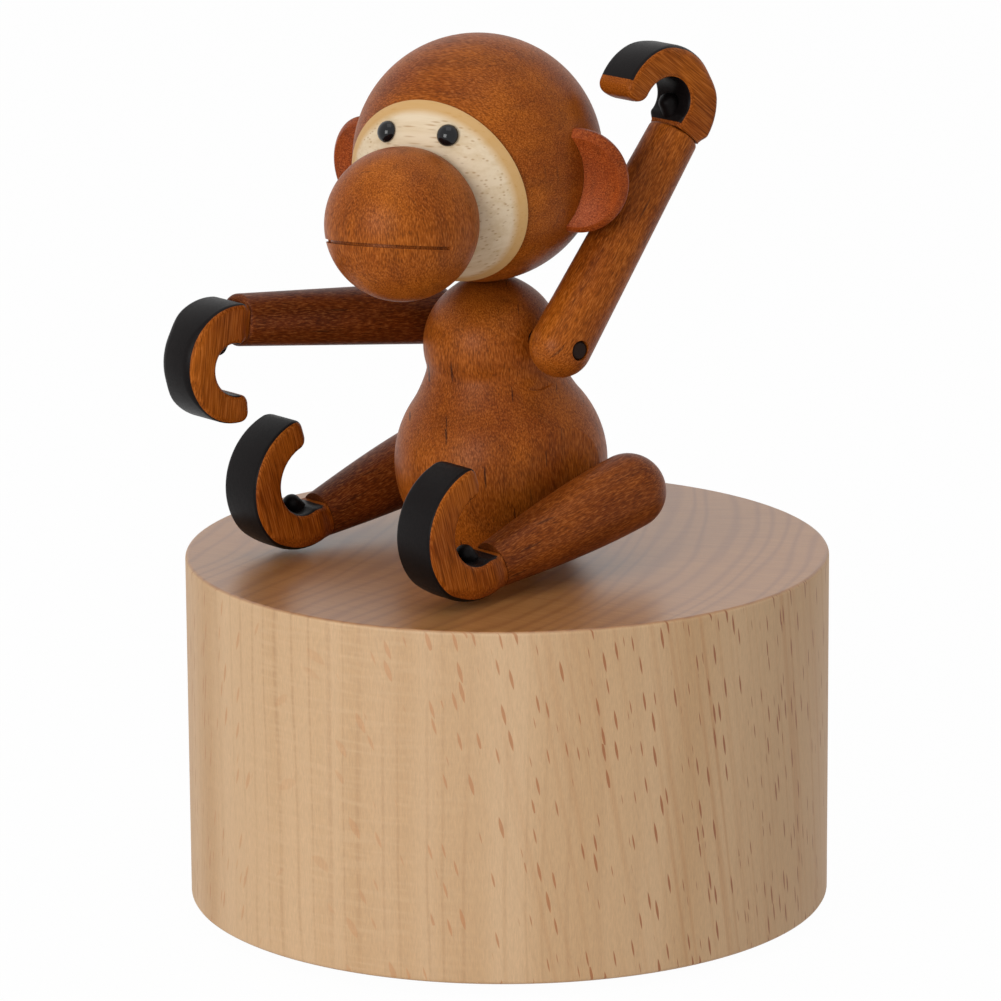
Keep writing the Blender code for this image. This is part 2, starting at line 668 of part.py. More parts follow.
def make_bedplate():
    """The cast bedplate with its posts, comb pad and end bearing."""
    holes = [circle(ARBOR_RADIUS + RUNNING_FIT, BORE_SIDES)]
    holes += [circle(SMALL_SCREW + PEG_FIT, SCREW_SIDES, x, y) for x, y in MOVEMENT_SCREWS]
    bed = piece("bedplate", plate(bed_outline(), BED_LOW, BED_TOP, holes), "zinc_casting", None)
    sunk = BED_TOP - 0.5 * BED_THICKNESS
    posts = [shifted(rod(POST_RADIUS, sunk, POST_TOP, SMALL_SIDES), x, y) for x, y in POSTS]
    pad = block(
        (CYLINDER_WEST - TRAIN_GAP, -COMB_PAD_FAR, sunk),
        (CYLINDER_EAST + TRAIN_GAP, -COMB_PAD_NEAR, COMB_PAD_TOP),
    )
    bearing = block(
        (END_BEARING_WEST, -END_BEARING_HALF_WIDTH, sunk),
        (END_BEARING_EAST, END_BEARING_HALF_WIDTH, TRAIN_Z + END_BEARING_CREST),
    )
    carve(bed, joined(*posts, pad, bearing), "UNION")
    drilled = [(POSTS, POST_TOP, POST_TOP - TAPPED_DEPTH)]
    drilled += [(COMB_SCREWS, COMB_PAD_TOP, COMB_PAD_TOP - TAPPED_DEPTH)]
    drilled += [(FRAME_SCREWS, BED_TOP, BED_LOW - CUT_OVERRUN)]
    bores = []
    for places, top, low in drilled:
        for x, y in places:
            bore = rod(SMALL_SCREW + PEG_FIT, low, top + CUT_OVERRUN, SCREW_SIDES)
            bores.append(shifted(bore, x, y))
    shaft = rod(TRAIN_SHAFT + RUNNING_FIT, END_BEARING_WEST - TRAIN_GAP, END_BEARING_EAST + CUT_OVERRUN)
    bores.append(shifted(along_x(shaft), z=TRAIN_Z))
    carve(bed, joined(*bores))


def make_clutch():
    """A wrap spring on the arbor under the bedplate, which lets it turn one way only."""
    wire = 0.5 * CLUTCH_WIRE
    radius = ARBOR_RADIUS + CLUTCH_CLEARANCE + wire
    steps = 10
    rise = (BED_LOW - BOARD_LOW - SEAT_GAP - 2.0 * wire) / CLUTCH_TURNS
    rings = []
    for k in range(CLUTCH_TURNS * steps + 1):
        angle = TURN * k / steps
        outward = Vector((math.cos(angle), math.sin(angle), 0.0))
        middle = radius * outward + Vector((0.0, 0.0, BOARD_LOW + wire + rise * k / steps))
        across = [outward, Vector((0, 0, 1)), -outward, Vector((0, 0, -1))]
        rings.append([middle + wire * way for way in across])
    piece("clutch_spring", loft(rings), "spring_steel", None)


def make_barrel(spindle):
    """The open barrel, with a flange for the crown wheel."""
    inner = BARREL_RADIUS - BARREL_WALL
    web = BARREL_LOW + BARREL_FLOOR
    flange = CROWN_INNER - PEG_FIT
    profile = [
        (ARBOR_RADIUS + RUNNING_FIT, BARREL_LOW),
        (flange, BARREL_LOW),
        (flange, web),
        (BARREL_RADIUS, web),
        (BARREL_RADIUS, BARREL_TOP),
        (inner, BARREL_TOP),
        (inner, web),
        (ARBOR_RADIUS + RUNNING_FIT, web),
    ]
    piece("spring_barrel", turned(profile, FIGURE_SIDES), "brass", spindle)


def make_crown(spindle):
    """The crown wheel: a ring on the barrel's flange, toothed on its upper edge, a gap facing +X."""
    valley, crest = CROWN_PITCH_Z - TOOTH_ROOT, CROWN_PITCH_Z + TOOTH_TIP
    edge = [
        (0.5 - 0.5 * TOOTH_ROOT_SHARE, valley),
        (0.5 - 0.5 * TOOTH_TIP_SHARE, crest),
        (0.5 + 0.5 * TOOTH_TIP_SHARE, crest),
        (0.5 + 0.5 * TOOTH_ROOT_SHARE, valley),
    ]
    bm = bmesh.new()
    stations = [(TURN * (k + share) / CROWN_TEETH, z) for k in range(CROWN_TEETH) for share, z in edge]
    loops = []
    for angle, z in stations:
        way = Vector((math.cos(angle), math.sin(angle), 0.0))
        spots = [(CROWN_INNER, BARREL_LOW), (CROWN_OUTER, BARREL_LOW), (CROWN_OUTER, z), (CROWN_INNER, z)]
        loops.append([bm.verts.new(radius * way + Vector((0, 0, high))) for radius, high in spots])
    for here, there in zip(loops, loops[1:] + loops[:1]):
        for k in range(4):
            bm.faces.new((here[k - 1], here[k], there[k], there[k - 1]))
    piece("crown_wheel", bm, "brass", spindle)


def make_mainspring(spindle):
    """The mainspring: a flat spiral in the barrel."""
    low = BARREL_LOW + BARREL_FLOOR + SEAT_GAP
    high = BARREL_TOP - COVER_SPIGOT - SEAT_GAP
    outer = BARREL_RADIUS - BARREL_WALL - SEAT_GAP - SPRING_THICKNESS
    steps = 14
    rings = []
    for k in range(SPRING_TURNS * steps + 1):
        angle = TURN * k / steps
        radius = SPRING_INNER + (outer - SPRING_INNER) * k / (SPRING_TURNS * steps)
        way = Vector((math.cos(angle), math.sin(angle), 0.0))
        near, far = radius * way, (radius + SPRING_THICKNESS) * way
        foot, head = Vector((0.0, 0.0, low)), Vector((0.0, 0.0, high))
        rings.append([near + foot, near + head, far + head, far + foot])
    piece("mainspring", loft(rings), "spring_steel", spindle)


def make_spindle(spindle):
    """The barrel's cover with the output spindle turned on it, and the collar at its top."""
    spigot = BARREL_RADIUS - BARREL_WALL - PEG_FIT
    top = TORSO_FOOT + SPINDLE_IN_TORSO
    profile = [
        (0.0, BARREL_TOP - COVER_SPIGOT),
        (spigot, BARREL_TOP - COVER_SPIGOT),
        (spigot, COVER_LOW),
        (BARREL_RADIUS, COVER_LOW),
        (BARREL_RADIUS, COVER_TOP),
        (SPINDLE_RADIUS, COVER_TOP),
        (SPINDLE_RADIUS, top),
        (0.0, top),
    ]
    piece("output_spindle", turned(profile, FIGURE_SIDES), "spring_steel", spindle)
    collar = ring(SPINDLE_RADIUS + PEG_FIT, COLLAR_RADIUS, COLLAR_LOW, COLLAR_TOP, FIGURE_SIDES)
    piece("spindle_collar", collar, "brass", spindle)


def make_bush():
    """The flanged brass bush in the drum's roof."""
    bore = SPINDLE_RADIUS + RUNNING_FIT
    profile = [
        (bore, CEILING - SEAT_GAP - BUSH_FLANGE_THICKNESS),
        (BUSH_FLANGE, CEILING - SEAT_GAP - BUSH_FLANGE_THICKNESS),
        (BUSH_FLANGE, CEILING - SEAT_GAP),
        (BUSH_RADIUS, CEILING - SEAT_GAP),
        (BUSH_RADIUS, DRUM_TOP - SEAT_GAP),
        (bore, DRUM_TOP - SEAT_GAP),
    ]
    piece("top_bush", turned(profile, FIGURE_SIDES), "brass", None)


def make_bridge():
    """The bridge over the barrel: a bar on the posts, with a lug bent down for the cylinder's shaft."""
    half, end = BRIDGE_HALF_WIDTH, POST_OFFSET
    arc = [math.radians(30.0 * k) for k in range(7)]
    outline = [(half * math.cos(a), end + half * math.sin(a)) for a in arc]
    outline += [(-half * math.cos(a), -end - half * math.sin(a)) for a in arc]
    outline += [(half, -half), (LUG_EAST, -half), (LUG_EAST, half), (half, half)]
    holes = [circle(SPINDLE_RADIUS + RUNNING_FIT, BORE_SIDES)]
    holes += [circle(SMALL_SCREW + SCREW_FIT, SCREW_SIDES, x, y) for x, y in POSTS]
    bridge = piece("motor_bridge", plate(outline, BRIDGE_LOW, BRIDGE_TOP, holes), "zinc_casting", None)
    lug = block(
        (LUG_WEST, -half + TRAIN_GAP, TRAIN_Z - LUG_DROP),
        (LUG_EAST, half - TRAIN_GAP, BRIDGE_LOW + 0.5 * BRIDGE_THICKNESS),
    )
    carve(bridge, lug, "UNION")
    shaft = rod(TRAIN_SHAFT + RUNNING_FIT, LUG_WEST - CUT_OVERRUN, LUG_EAST + 0.5 * TRAIN_GAP)
    carve(bridge, shifted(along_x(shaft), z=TRAIN_Z))
    length = BRIDGE_THICKNESS + 2.0 * SEAT_GAP + TAPPED_BITE
    fasten("bridge_screw", POSTS, BRIDGE_TOP + SEAT_GAP, SMALL_KIND, length, driven="down")


def make_governor_frame():
    """Two cheeks on a foot that carry the governor wheel, and a top arm for the fan's worm."""
    foot = plate(
        rectangle(FRAME_WEST, CHEEK_EAST, FRAME_BACK, FRAME_FRONT), FRAME_LOW, FRAME_FOOT_TOP,
        [circle(SMALL_SCREW + SCREW_FIT, SCREW_SIDES, x, y) for x, y in FRAME_SCREWS]
        + [circle(WORM_CORE + RUNNING_FIT, SCREW_SIDES, WORM_X, WORM_Y)],
    )  # fmt: skip
    frame = piece("governor_frame", foot, "zinc_casting", None)
    sunk = FRAME_LOW + 0.5 * FRAME_FOOT
    crest = ARM_BEARING_LOW + 0.5 * FRAME_TOP
    cheeks = [
        block((x, FRAME_BACK + CHEEK_INSET, sunk), (x + CHEEK_THICKNESS, FRAME_FRONT - CHEEK_INSET, crest))
        for x in (CHEEK_WEST, CHEEK_EAST - CHEEK_THICKNESS - CHEEK_INSET)
    ]
    carve(frame, joined(*cheeks), "UNION")
    top = plate(
        rectangle(CHEEK_WEST - CHEEK_INSET, CHEEK_EAST, WORM_Y - 1.5 * FRAME_MARGIN, FRAME_FRONT),
        ARM_BEARING_LOW, ARM_BEARING_TOP,
        [circle(WORM_CORE + RUNNING_FIT, SCREW_SIDES, WORM_X, WORM_Y)],
    )  # fmt: skip
    carve(frame, top, "UNION")
    west, east = CHEEK_WEST - CUT_OVERRUN, CHEEK_EAST + CUT_OVERRUN
    shaft = rod(GOVERNOR_SHAFT + RUNNING_FIT, west, east, SMALL_SIDES)
    carve(frame, shifted(along_x(shaft), y=GOVERNOR_OFFSET, z=TRAIN_Z))
    length = FRAME_FOOT + 2.0 * SEAT_GAP + MOVEMENT_SCREW_BITE
    fasten("governor_screw", FRAME_SCREWS, FRAME_FOOT_TOP + SEAT_GAP, SMALL_KIND, length, driven="down")


def make_cylinder(axis):
    """The comb cylinder's shaft, pinion, pinned brass cylinder and gear, on one axis."""
    shaft = rod(TRAIN_SHAFT, LUG_WEST + 0.5 * LUG_THICKNESS - TRAIN_GAP, END_BEARING_EAST, SMALL_SIDES)
    piece("cylinder_shaft", shaft, "spring_steel", axis)
    bore = [circle(TRAIN_SHAFT + PEG_FIT, SMALL_SIDES)]
    leaves = gear_outline(PINION_TEETH, PINION_RADIUS, TOOTH_TIP, TOOTH_ROOT)
    piece("cylinder_pinion", plate(leaves, PINION_WEST, PINION_EAST, bore), "brass", axis)
    teeth = gear_outline(GEAR_TEETH, GEAR_RADIUS, FINE_TIP, FINE_ROOT)
    piece("cylinder_gear", plate(teeth, GEAR_WEST, GEAR_EAST, bore), "brass", axis)
    body = ring(TRAIN_SHAFT + PEG_FIT, CYLINDER_RADIUS, CYLINDER_WEST, CYLINDER_EAST, FIGURE_SIDES)
    cylinder = piece("pinned_cylinder", body, "brass", axis)
    carve(cylinder, joined(*tune_pins()), "UNION")


def tune_pins():
    """Short square pins, two on each comb tooth's track, stepped round from track to track."""
    half = 0.5 * PIN_WIDTH
    sunk = CYLINDER_RADIUS - PIN_ROOT
    tip = CYLINDER_RADIUS + PIN_HEIGHT
    pins = []
    for track in range(COMB_TEETH):
        x = comb_tooth_x(track)
        for k in range(PINS_PER_TRACK):
            angle = PIN_STEP * track + TURN * k / PINS_PER_TRACK
            pin = block((sunk, -half, x - half), (tip, half, x + half))
            pins.append(moved(pin, Matrix.Rotation(angle, 4, "Z")))
    return pins


def comb_tooth_x(track):
    """Where a comb tooth's middle lies along the cylinder."""
    middle = CYLINDER_WEST + 0.5 * CYLINDER_LENGTH
    return middle + COMB_PITCH * (track - 0.5 * (COMB_TEETH - 1))


def make_comb():
    """The steel comb: eighteen tongues, longer for the low notes, on a screwed-down back."""
    half = 0.5 * COMB_TOOTH_WIDTH
    west, east = CYLINDER_WEST, CYLINDER_EAST
    outline = [(west, -COMB_PAD_FAR), (east, -COMB_PAD_FAR)]
    for track in reversed(range(COMB_TEETH)):
        x = comb_tooth_x(track)
        gullet = -COMB_PAD_NEAR + COMB_GULLET_RISE * track / COMB_TEETH
        outline += [(x + half, gullet), (x + half, -COMB_TIP), (x - half, -COMB_TIP), (x - half, gullet)]
    holes = [circle(SMALL_SCREW + SCREW_FIT, SCREW_SIDES, x, y) for x, y in COMB_SCREWS]
    piece("comb", plate(outline, COMB_LOW, COMB_LOW + COMB_THICKNESS, holes), "spring_steel", None)
    length = COMB_THICKNESS + 2.0 * SEAT_GAP + TAPPED_BITE
    seat = COMB_LOW + COMB_THICKNESS + SEAT_GAP
    fasten("comb_screw", COMB_SCREWS, seat, SMALL_KIND, length, driven="down")


def make_governor(axis):
    """The governor's shaft with its pinion and its fine wheel, in one piece."""
    phase = -0.25 * TURN - 0.5 * TURN / GOVERNOR_TEETH
    leaves = gear_outline(GOVERNOR_TEETH, GOVERNOR_RADIUS, FINE_TIP, FINE_ROOT, phase)
    wheel = gear_outline(WHEEL_TEETH, WHEEL_RADIUS, FINE_TIP, FINE_ROOT)
    half = 0.5 * WHEEL_FACE
    core = rod(GOVERNOR_SHAFT, CHEEK_WEST, GEAR_EAST - GEAR_RECESS, SMALL_SIDES)
    shaft = piece("governor_wheel", core, "spring_steel", axis)
    gears = joined(plate(leaves, GEAR_WEST, GEAR_EAST), plate(wheel, WORM_X - half, WORM_X + half))
    carve(shaft, gears, "UNION")


def make_fan(axis):
    """The fan's shaft with its single-start worm, and the two-bladed air brake on top."""
    worm_low = TRAIN_Z - 0.5 * WORM_TURNS * WORM_LEAD
    shaft = rod(WORM_CORE, FRAME_LOW, FAN_LOW + FAN_HEIGHT, SMALL_SIDES)
    fan = piece("fan_worm", shaft, "nylon", axis)
    root, tip = WORM_RADIUS - FINE_ROOT, WORM_RADIUS + FINE_TIP
    core = rod(root, worm_low - 0.5 * WORM_LEAD, worm_low + (WORM_TURNS + 0.5) * WORM_LEAD, SMALL_SIDES)
    carve(fan, core, "UNION")
    steps = 8
    rings = []
    for k in range(round(WORM_TURNS * steps) + 1):
        angle = -0.25 * TURN + TURN * (k / steps - 0.5 * WORM_TURNS)
        z = TRAIN_Z + WORM_LEAD * (0.5 + k / steps - 0.5 * WORM_TURNS)
        way = Vector((math.cos(angle), math.sin(angle), 0.0))
        up = Vector((0.0, 0.0, WORM_LEAD))
        base, crest = 0.17 * up, 0.08 * up
        middle = Vector((0.0, 0.0, z))
        inner, outer = middle + 0.7 * root * way, middle + tip * way
        rings.append([inner - base, outer - crest, outer + crest, inner + base])
    carve(fan, loft(rings), "UNION")
    half, near = 0.5 * FAN_BLADE, 0.3 * WORM_CORE
    low, high = FAN_LOW + SEAT_GAP, FAN_LOW + FAN_HEIGHT - SEAT_GAP
    blades = [
        block((near, -half, low), (FAN_REACH, half, high)),
        block((-FAN_REACH, -half, low), (-near, half, high)),
    ]
    carve(fan, joined(*blades), "UNION")


def circle_height(radius, offset):
    """Half the chord of a circle at an offset from its centre, or nothing outside it."""
    return math.sqrt(max(radius * radius - offset * offset, 0.0))


def gourd_radius(z):
    """The torso's radius: two balls whose meeting is filled out to a waist."""
    belly = circle_height(BELLY_RADIUS, z - BELLY_RISE)
    chest = circle_height(CHEST_RADIUS, z - CHEST_RISE)
    near = max(WAIST_BLEND - abs(belly - chest), 0.0) / WAIST_BLEND
    return max(belly, chest) + 0.25 * near * near * WAIST_BLEND


def make_torso(torso):
    """The torso with its level foot, flats for the limbs and bores for spindle, dowels and peg."""
    low, high = BELLY_RISE - BELLY_RADIUS, CHEST_TOP
    steps = 16
    spread = [0.5 - 0.5 * math.cos(math.pi * k / steps) for k in range(steps + 1)]
    profile = [(gourd_radius(low + (high - low) * s), low + (high - low) * s) for s in spread]
    profile[0] = (0.0, low)
    profile.append((0.0, high))
    body = turned(profile, FIGURE_SIDES)
    level = Matrix.Rotation(-LEAN, 3, "X")
    slice_off(body, (0.0, 0.0, 0.0), level @ Vector((0.0, 0.0, -1.0)))
    torso_piece = piece("torso", body, "stained_beech", torso)
    flats = []
    for side in (1.0, -1.0):
        mirror = Matrix.Diagonal((side, 1, 1, 1))
        shoulder = along_x(rod(1.6 * ARM_SHOULDER, CHEST_FLAT, CHEST_FLAT + CHEST_RADIUS))
        flats.append(shifted(moved(shoulder, mirror), 0.0, SHOULDER_BACK, SHOULDER_RISE))
        hip = along_x(rod(0.8 * BELLY_RADIUS, HIP_FLAT, HIP_FLAT + BELLY_RADIUS))
        flats.append(shifted(moved(hip, mirror), 0.0, 0.0, BELLY_RISE))
    carve(torso_piece, joined(*flats))
    dowel_bore = DOWEL + PEG_FIT
    reach = BELLY_RADIUS + CUT_OVERRUN
    spindle_bore = rod(SPINDLE_RADIUS + PEG_FIT, -CUT_OVERRUN, SPINDLE_IN_TORSO + SEAT_GAP)
    bores = [
        shifted(along_x(rod(dowel_bore, -reach, reach)), 0.0, SHOULDER_BACK, SHOULDER_RISE),
        shifted(along_x(rod(dowel_bore, -reach, reach)), 0.0, HIP_BACK, HIP_RISE),
        rod(NECK_PEG + PEG_FIT, CHEST_TOP - NECK_PEG_IN_CHEST, CHEST_TOP + CUT_OVERRUN),
        moved(spindle_bore, Matrix.Rotation(-LEAN, 4, "X")),
    ]
    carve(torso_piece, joined(*bores))
    shoulder_dowel = along_x(rod(DOWEL, -SHOULDER_DOWEL_END, SHOULDER_DOWEL_END))
    piece("shoulder_dowel", shoulder_dowel, "dark_stain", torso, at=(0.0, SHOULDER_BACK, SHOULDER_RISE))
    hip_dowel = along_x(rod(DOWEL, -HIP_DOWEL_END, HIP_DOWEL_END))
    piece("hip_dowel", hip_dowel, "dark_stain", torso, at=(0.0, HIP_BACK, HIP_RISE))
    peg = rod(NECK_PEG, CHEST_TOP - NECK_PEG_IN_CHEST + SEAT_GAP, CHEST_TOP + SEAT_GAP + NECK_PEG_IN_HEAD)
    piece("neck_peg", peg, "stained_beech", torso)


def half_turned(radius, height, steps, start=-90.0):
    """Points of an upright ellipse's side, from a latitude in degrees up to the top."""
    angles = [math.radians(start + (90.0 - start) * k / steps) for k in range(steps + 1)]
    points = [(radius * math.cos(a), height * math.sin(a)) for a in angles]
    points[-1] = (0.0, height)
    if start == -90.0:
        points[0] = (0.0, -height)
    return points


def face_frame():
    """The tilt that turns +Z into the way that the face looks."""
    return Matrix.Rotation(0.5 * math.pi - FACE_PITCH, 4, "X")


def make_head(head):
    """The head's ball, the face cap on its flat, and what sits on them."""
    look = (face_frame() @ Vector((0, 0, 1))).normalized()
    ball = turned(half_turned(HEAD_RADIUS, HEAD_HALF_HEIGHT, 12), FIGURE_SIDES)
    slice_off(ball, look * FACE_FLAT, look)
    slice_off(ball, (0, 0, -HEAD_FOOT), (0, 0, -1))
    ball_piece = piece("head_ball", ball, "stained_beech", head)
    bore_top = NECK_PEG_IN_HEAD - HEAD_FOOT + SEAT_GAP
    carve(ball_piece, rod(NECK_PEG + RUNNING_FIT, -HEAD_FOOT - CUT_OVERRUN, bore_top))
    cap = turned(half_turned(HEAD_RADIUS + FACE_PROUD, HEAD_HALF_HEIGHT + FACE_PROUD, 12), FIGURE_SIDES)
    slice_off(cap, look * (FACE_FLAT + FLAT_GAP), -look)
    slice_off(cap, look * MUZZLE_SEAT, look)
    cap_piece = piece("face_plate", cap, "pale_maple", head)
    make_eyes(head, cap_piece)
    make_muzzle(head)
    make_ears(head)


def make_eyes(head, cap_piece):
    """Two bead eyes on shanks in the face cap."""
    bead = [
        (0.0, -EYE_SHANK_LENGTH),
        (EYE_SHANK, -EYE_SHANK_LENGTH),
        (EYE_SHANK, 0.0),
        (EYE_RADIUS, 0.0),
        (0.94 * EYE_RADIUS, 0.3 * EYE_RADIUS),
        (0.72 * EYE_RADIUS, 0.58 * EYE_RADIUS),
        (0.4 * EYE_RADIUS, 0.76 * EYE_RADIUS),
        (0.0, 0.82 * EYE_RADIUS),
    ]
    sockets = []
    for name, side in (("left_eye", 1.0), ("right_eye", -1.0)):
        aim = Matrix.Rotation(side * EYE_SIDE, 4, "Z") @ Matrix.Rotation(0.5 * math.pi - EYE_RISE, 4, "X")
        way = (aim @ Vector((0, 0, 1))).normalized()
        flat, tall = HEAD_RADIUS + FACE_PROUD, HEAD_HALF_HEIGHT + FACE_PROUD
        surface = 1.0 / math.sqrt((way.x**2 + way.y**2) / flat**2 + way.z**2 / tall**2)
        frame = Matrix.Translation(way * (surface + EYE_PROUD)) @ aim
        piece(name, moved(turned(bead, SMALL_SIDES), frame), "black_bead", head)
        depth = EYE_SHANK_LENGTH + SEAT_GAP
        sockets.append(moved(rod(EYE_SHANK + PEG_FIT, -depth, CUT_OVERRUN, SMALL_SIDES), frame))
    carve(cap_piece, joined(*sockets))


def make_muzzle(head):
    """The muzzle: a turned dome with a sawn mouth."""
    look = face_frame()
    start = math.degrees(math.asin((MUZZLE_SEAT + FLAT_GAP - MUZZLE_CENTRE) / MUZZLE_RADIUS))
    dome = half_turned(MUZZLE_RADIUS, MUZZLE_RADIUS, 9, start)
    profile = [(0.0, dome[0][1])] + dome
    body = moved(shifted(turned(profile, FIGURE_SIDES), z=MUZZLE_CENTRE), look)
    muzzle = piece("muzzle", body, "stained_beech", head)
    half = 0.5 * MOUTH_WIDTH
    kerf = ring(MUZZLE_RADIUS - MOUTH_DEPTH, MUZZLE_RADIUS + CUT_OVERRUN, -half, half, FIGURE_SIDES)
    slice_off(kerf, (0.0, -MOUTH_BACK, 0.0), (0.0, 1.0, 0.0))
    centre = look @ Vector((0.0, 0.0, MUZZLE_CENTRE)) - Vector((0.0, 0.0, MOUTH_DROP))
    tilt = Matrix.Translation(centre) @ Matrix.Rotation(MOUTH_TILT, 4, "X")
    carve(muzzle, moved(kerf, tilt))


def make_ears(head):
    """Two turned button ears with dished fronts, coped to the ball's sides."""
    rim = EAR_RADIUS - EAR_RIM
    front = [(0.0, -EAR_DISH), (0.5 * rim, -0.8 * EAR_DISH), (0.85 * rim, -0.35 * EAR_DISH), (rim, 0.0)]
    angles = [math.radians(90.0 - 15.0 * k) for k in range(7)]
    back = [(EAR_RADIUS * math.sin(a), -EAR_RIM - EAR_DEPTH * math.cos(a)) for a in angles]
    back[-1] = (0.0, back[-1][1])
    for name, side in (("left_ear", 1.0), ("right_ear", -1.0)):
        aim = Matrix.Rotation(side * EAR_OUTWARD, 4, "Z") @ Matrix.Rotation(0.5 * math.pi, 4, "X")
        at = Matrix.Translation((side * EAR_OFFSET, EAR_BACK - 0.5 * EAR_DEPTH, -EAR_DROP))
        ear = piece(name, moved(turned(front + back, EAR_SIDES), at @ aim), "stained_beech", head)
        clear = turned(half_turned(HEAD_RADIUS + FLAT_GAP, HEAD_HALF_HEIGHT + FLAT_GAP, 12), FIGURE_SIDES)
        carve(ear, clear)


def make_arm(name, axis):
    """An arm along its frame's +Z: a rounded shoulder, a slight taper and a tenon."""
    shoulder = half_turned(ARM_SHOULDER, ARM_SHOULDER, 6, 0.0)
    profile = [(radius, -z) for radius, z in reversed(shoulder)]
    profile += [(ARM_WRIST, ARM_LENGTH - ARM_EDGE), (ARM_WRIST - ARM_EDGE, ARM_LENGTH), (TENON, ARM_LENGTH)]
    profile += [(TENON, ARM_LENGTH + TENON_LENGTH), (0.0, ARM_LENGTH + TENON_LENGTH)]
    arm = piece(name, turned(profile, LIMB_SIDES), "stained_beech", axis)
    bore = rod(DOWEL + RUNNING_FIT, -ARM_SHOULDER - CUT_OVERRUN, ARM_SHOULDER + CUT_OVERRUN)
    carve(arm, along_x(bore))


def make_leg(name, axis, side):
    """A leg along its frame's +Z: a club that swells behind the hip, with a tenon at the ankle."""
    back = half_turned(LEG_HIP, LEG_HIP, 6, 0.0)
    profile = [(radius, -LEG_HEEL_OF_HIP - z) for radius, z in reversed(back)]
    steps = 5
    for k in range(1, steps + 1):
        share = k / steps
        z = (LEG_LENGTH + LEG_HEEL_OF_HIP) * share - LEG_HEEL_OF_HIP
        profile.append((LEG_ANKLE + (LEG_HIP - LEG_ANKLE) * math.cos(0.5 * math.pi * share), z))
    profile += [(TENON, LEG_LENGTH), (TENON, LEG_LENGTH + TENON_LENGTH), (0.0, LEG_LENGTH + TENON_LENGTH)]
    leg = piece(name, turned(profile, LIMB_SIDES), "stained_beech", axis)
    bore = rod(DOWEL + RUNNING_FIT, -LEG_HIP - CUT_OVERRUN, LEG_BORE_DEPTH + SEAT_GAP)
    carve(leg, moved(along_x(bore), Matrix.Diagonal((side, 1, 1, 1))))


def make_mitten(name, axis, curl, straight, start, end, sweep, root, thickness, half_width, tip):
    """A curled mitten from a limb's end at z = 0; curl is the side of local Y that it closes to."""

    def section(middle, outward, depth, width, power=MITTEN_SQUARENESS):
        points = []
        for k in range(MITTEN_SIDES):
            angle = TURN * (k + 0.5) / MITTEN_SIDES
            along = math.copysign(abs(math.cos(angle)) ** power, math.cos(angle))
            across = math.copysign(abs(math.sin(angle)) ** power, math.sin(angle))
            points.append(middle + depth * along * outward + Vector((width * across, 0.0, 0.0)))
        return points

    rings = [section(Vector((0, 0, FLAT_GAP)), Vector((0, -curl, 0)), root, root, 1.0)]
    steps = 10
    for k in range(steps + 1):
        share = k / steps
        angle = sweep * share
        outward = Vector((0.0, -curl * math.cos(angle), math.sin(angle)))
        radius = start + (end - start) * share
        middle = Vector((0.0, curl * start, straight)) + radius * outward
        depth = thickness + (tip - thickness) * share
        width = half_width + 0.15 * (tip - half_width) * share
        rings.append(section(middle, outward, depth, width))
    ahead = Vector((0.0, curl * math.sin(sweep), math.cos(sweep)))
    for push, shrink in ((0.55, 0.82), (0.85, 0.5)):
        rings.append(section(middle + push * tip * ahead, outward, depth * shrink, width * shrink))
    mitten = piece(name, loft(rings), "stained_beech", axis)
    thumb_profile = [(0.0, -THUMB_ROOT), (THUMB_RADIUS, -THUMB_ROOT), (THUMB_RADIUS, 0.5 * THUMB_LENGTH)]
    thumb_profile += [(0.7 * THUMB_RADIUS, 0.85 * THUMB_LENGTH), (0.0, THUMB_LENGTH)]
    lean = Matrix.Rotation(-curl * THUMB_LEAN, 4, "X")
    at = Matrix.Translation((0.0, curl * 0.75 * thickness, straight + THUMB_RISE))
    carve(mitten, moved(turned(thumb_profile, SCREW_SIDES), at @ lean), "UNION")
    bore = rod(TENON + RUNNING_FIT, -CUT_OVERRUN, TENON_LENGTH + SEAT_GAP, SMALL_SIDES)
    carve(mitten, bore)


def make_limbs(torso):
    """Arms with hands and legs with feet, each on its own joint axis."""
    for side, word, pose in ((1.0, "left", LEFT_ARM_POSE), (-1.0, "right", RIGHT_ARM_POSE)):
        at = (side * SHOULDER_OFFSET, SHOULDER_BACK, SHOULDER_RISE)
        shoulder = joint_axis(f"{word}_shoulder_axis", torso, at, (pose - LEAN, 0.0, 0.0))
        make_arm(f"{word}_arm", shoulder)
        wrist = joint_axis(f"{word}_wrist_axis", shoulder, (0.0, 0.0, ARM_LENGTH))
        make_mitten(
            f"{word}_hand", wrist, -1.0, HAND_STRAIGHT, HAND_CURL_START, HAND_CURL_END, HAND_SWEEP,
            ARM_WRIST, HAND_THICKNESS, HAND_HALF_WIDTH, HAND_TIP,
        )  # fmt: skip
    for side, word, pose in ((1.0, "left", LEFT_LEG_POSE), (-1.0, "right", RIGHT_LEG_POSE)):
        at = (side * HIP_OFFSET, HIP_BACK, HIP_RISE)
        hip = joint_axis(f"{word}_hip_axis", torso, at, (pose - LEAN, 0.0, 0.0))
        make_leg(f"{word}_leg", hip, side)
        ankle = joint_axis(f"{word}_ankle_axis", hip, (0.0, 0.0, LEG_LENGTH))
        make_mitten(
            f"{word}_foot", ankle, 1.0, FOOT_STRAIGHT, FOOT_CURL_START, FOOT_CURL_END, FOOT_SWEEP,
            LEG_ANKLE, FOOT_THICKNESS, FOOT_HALF_WIDTH, FOOT_TIP,
        )  # fmt: skip


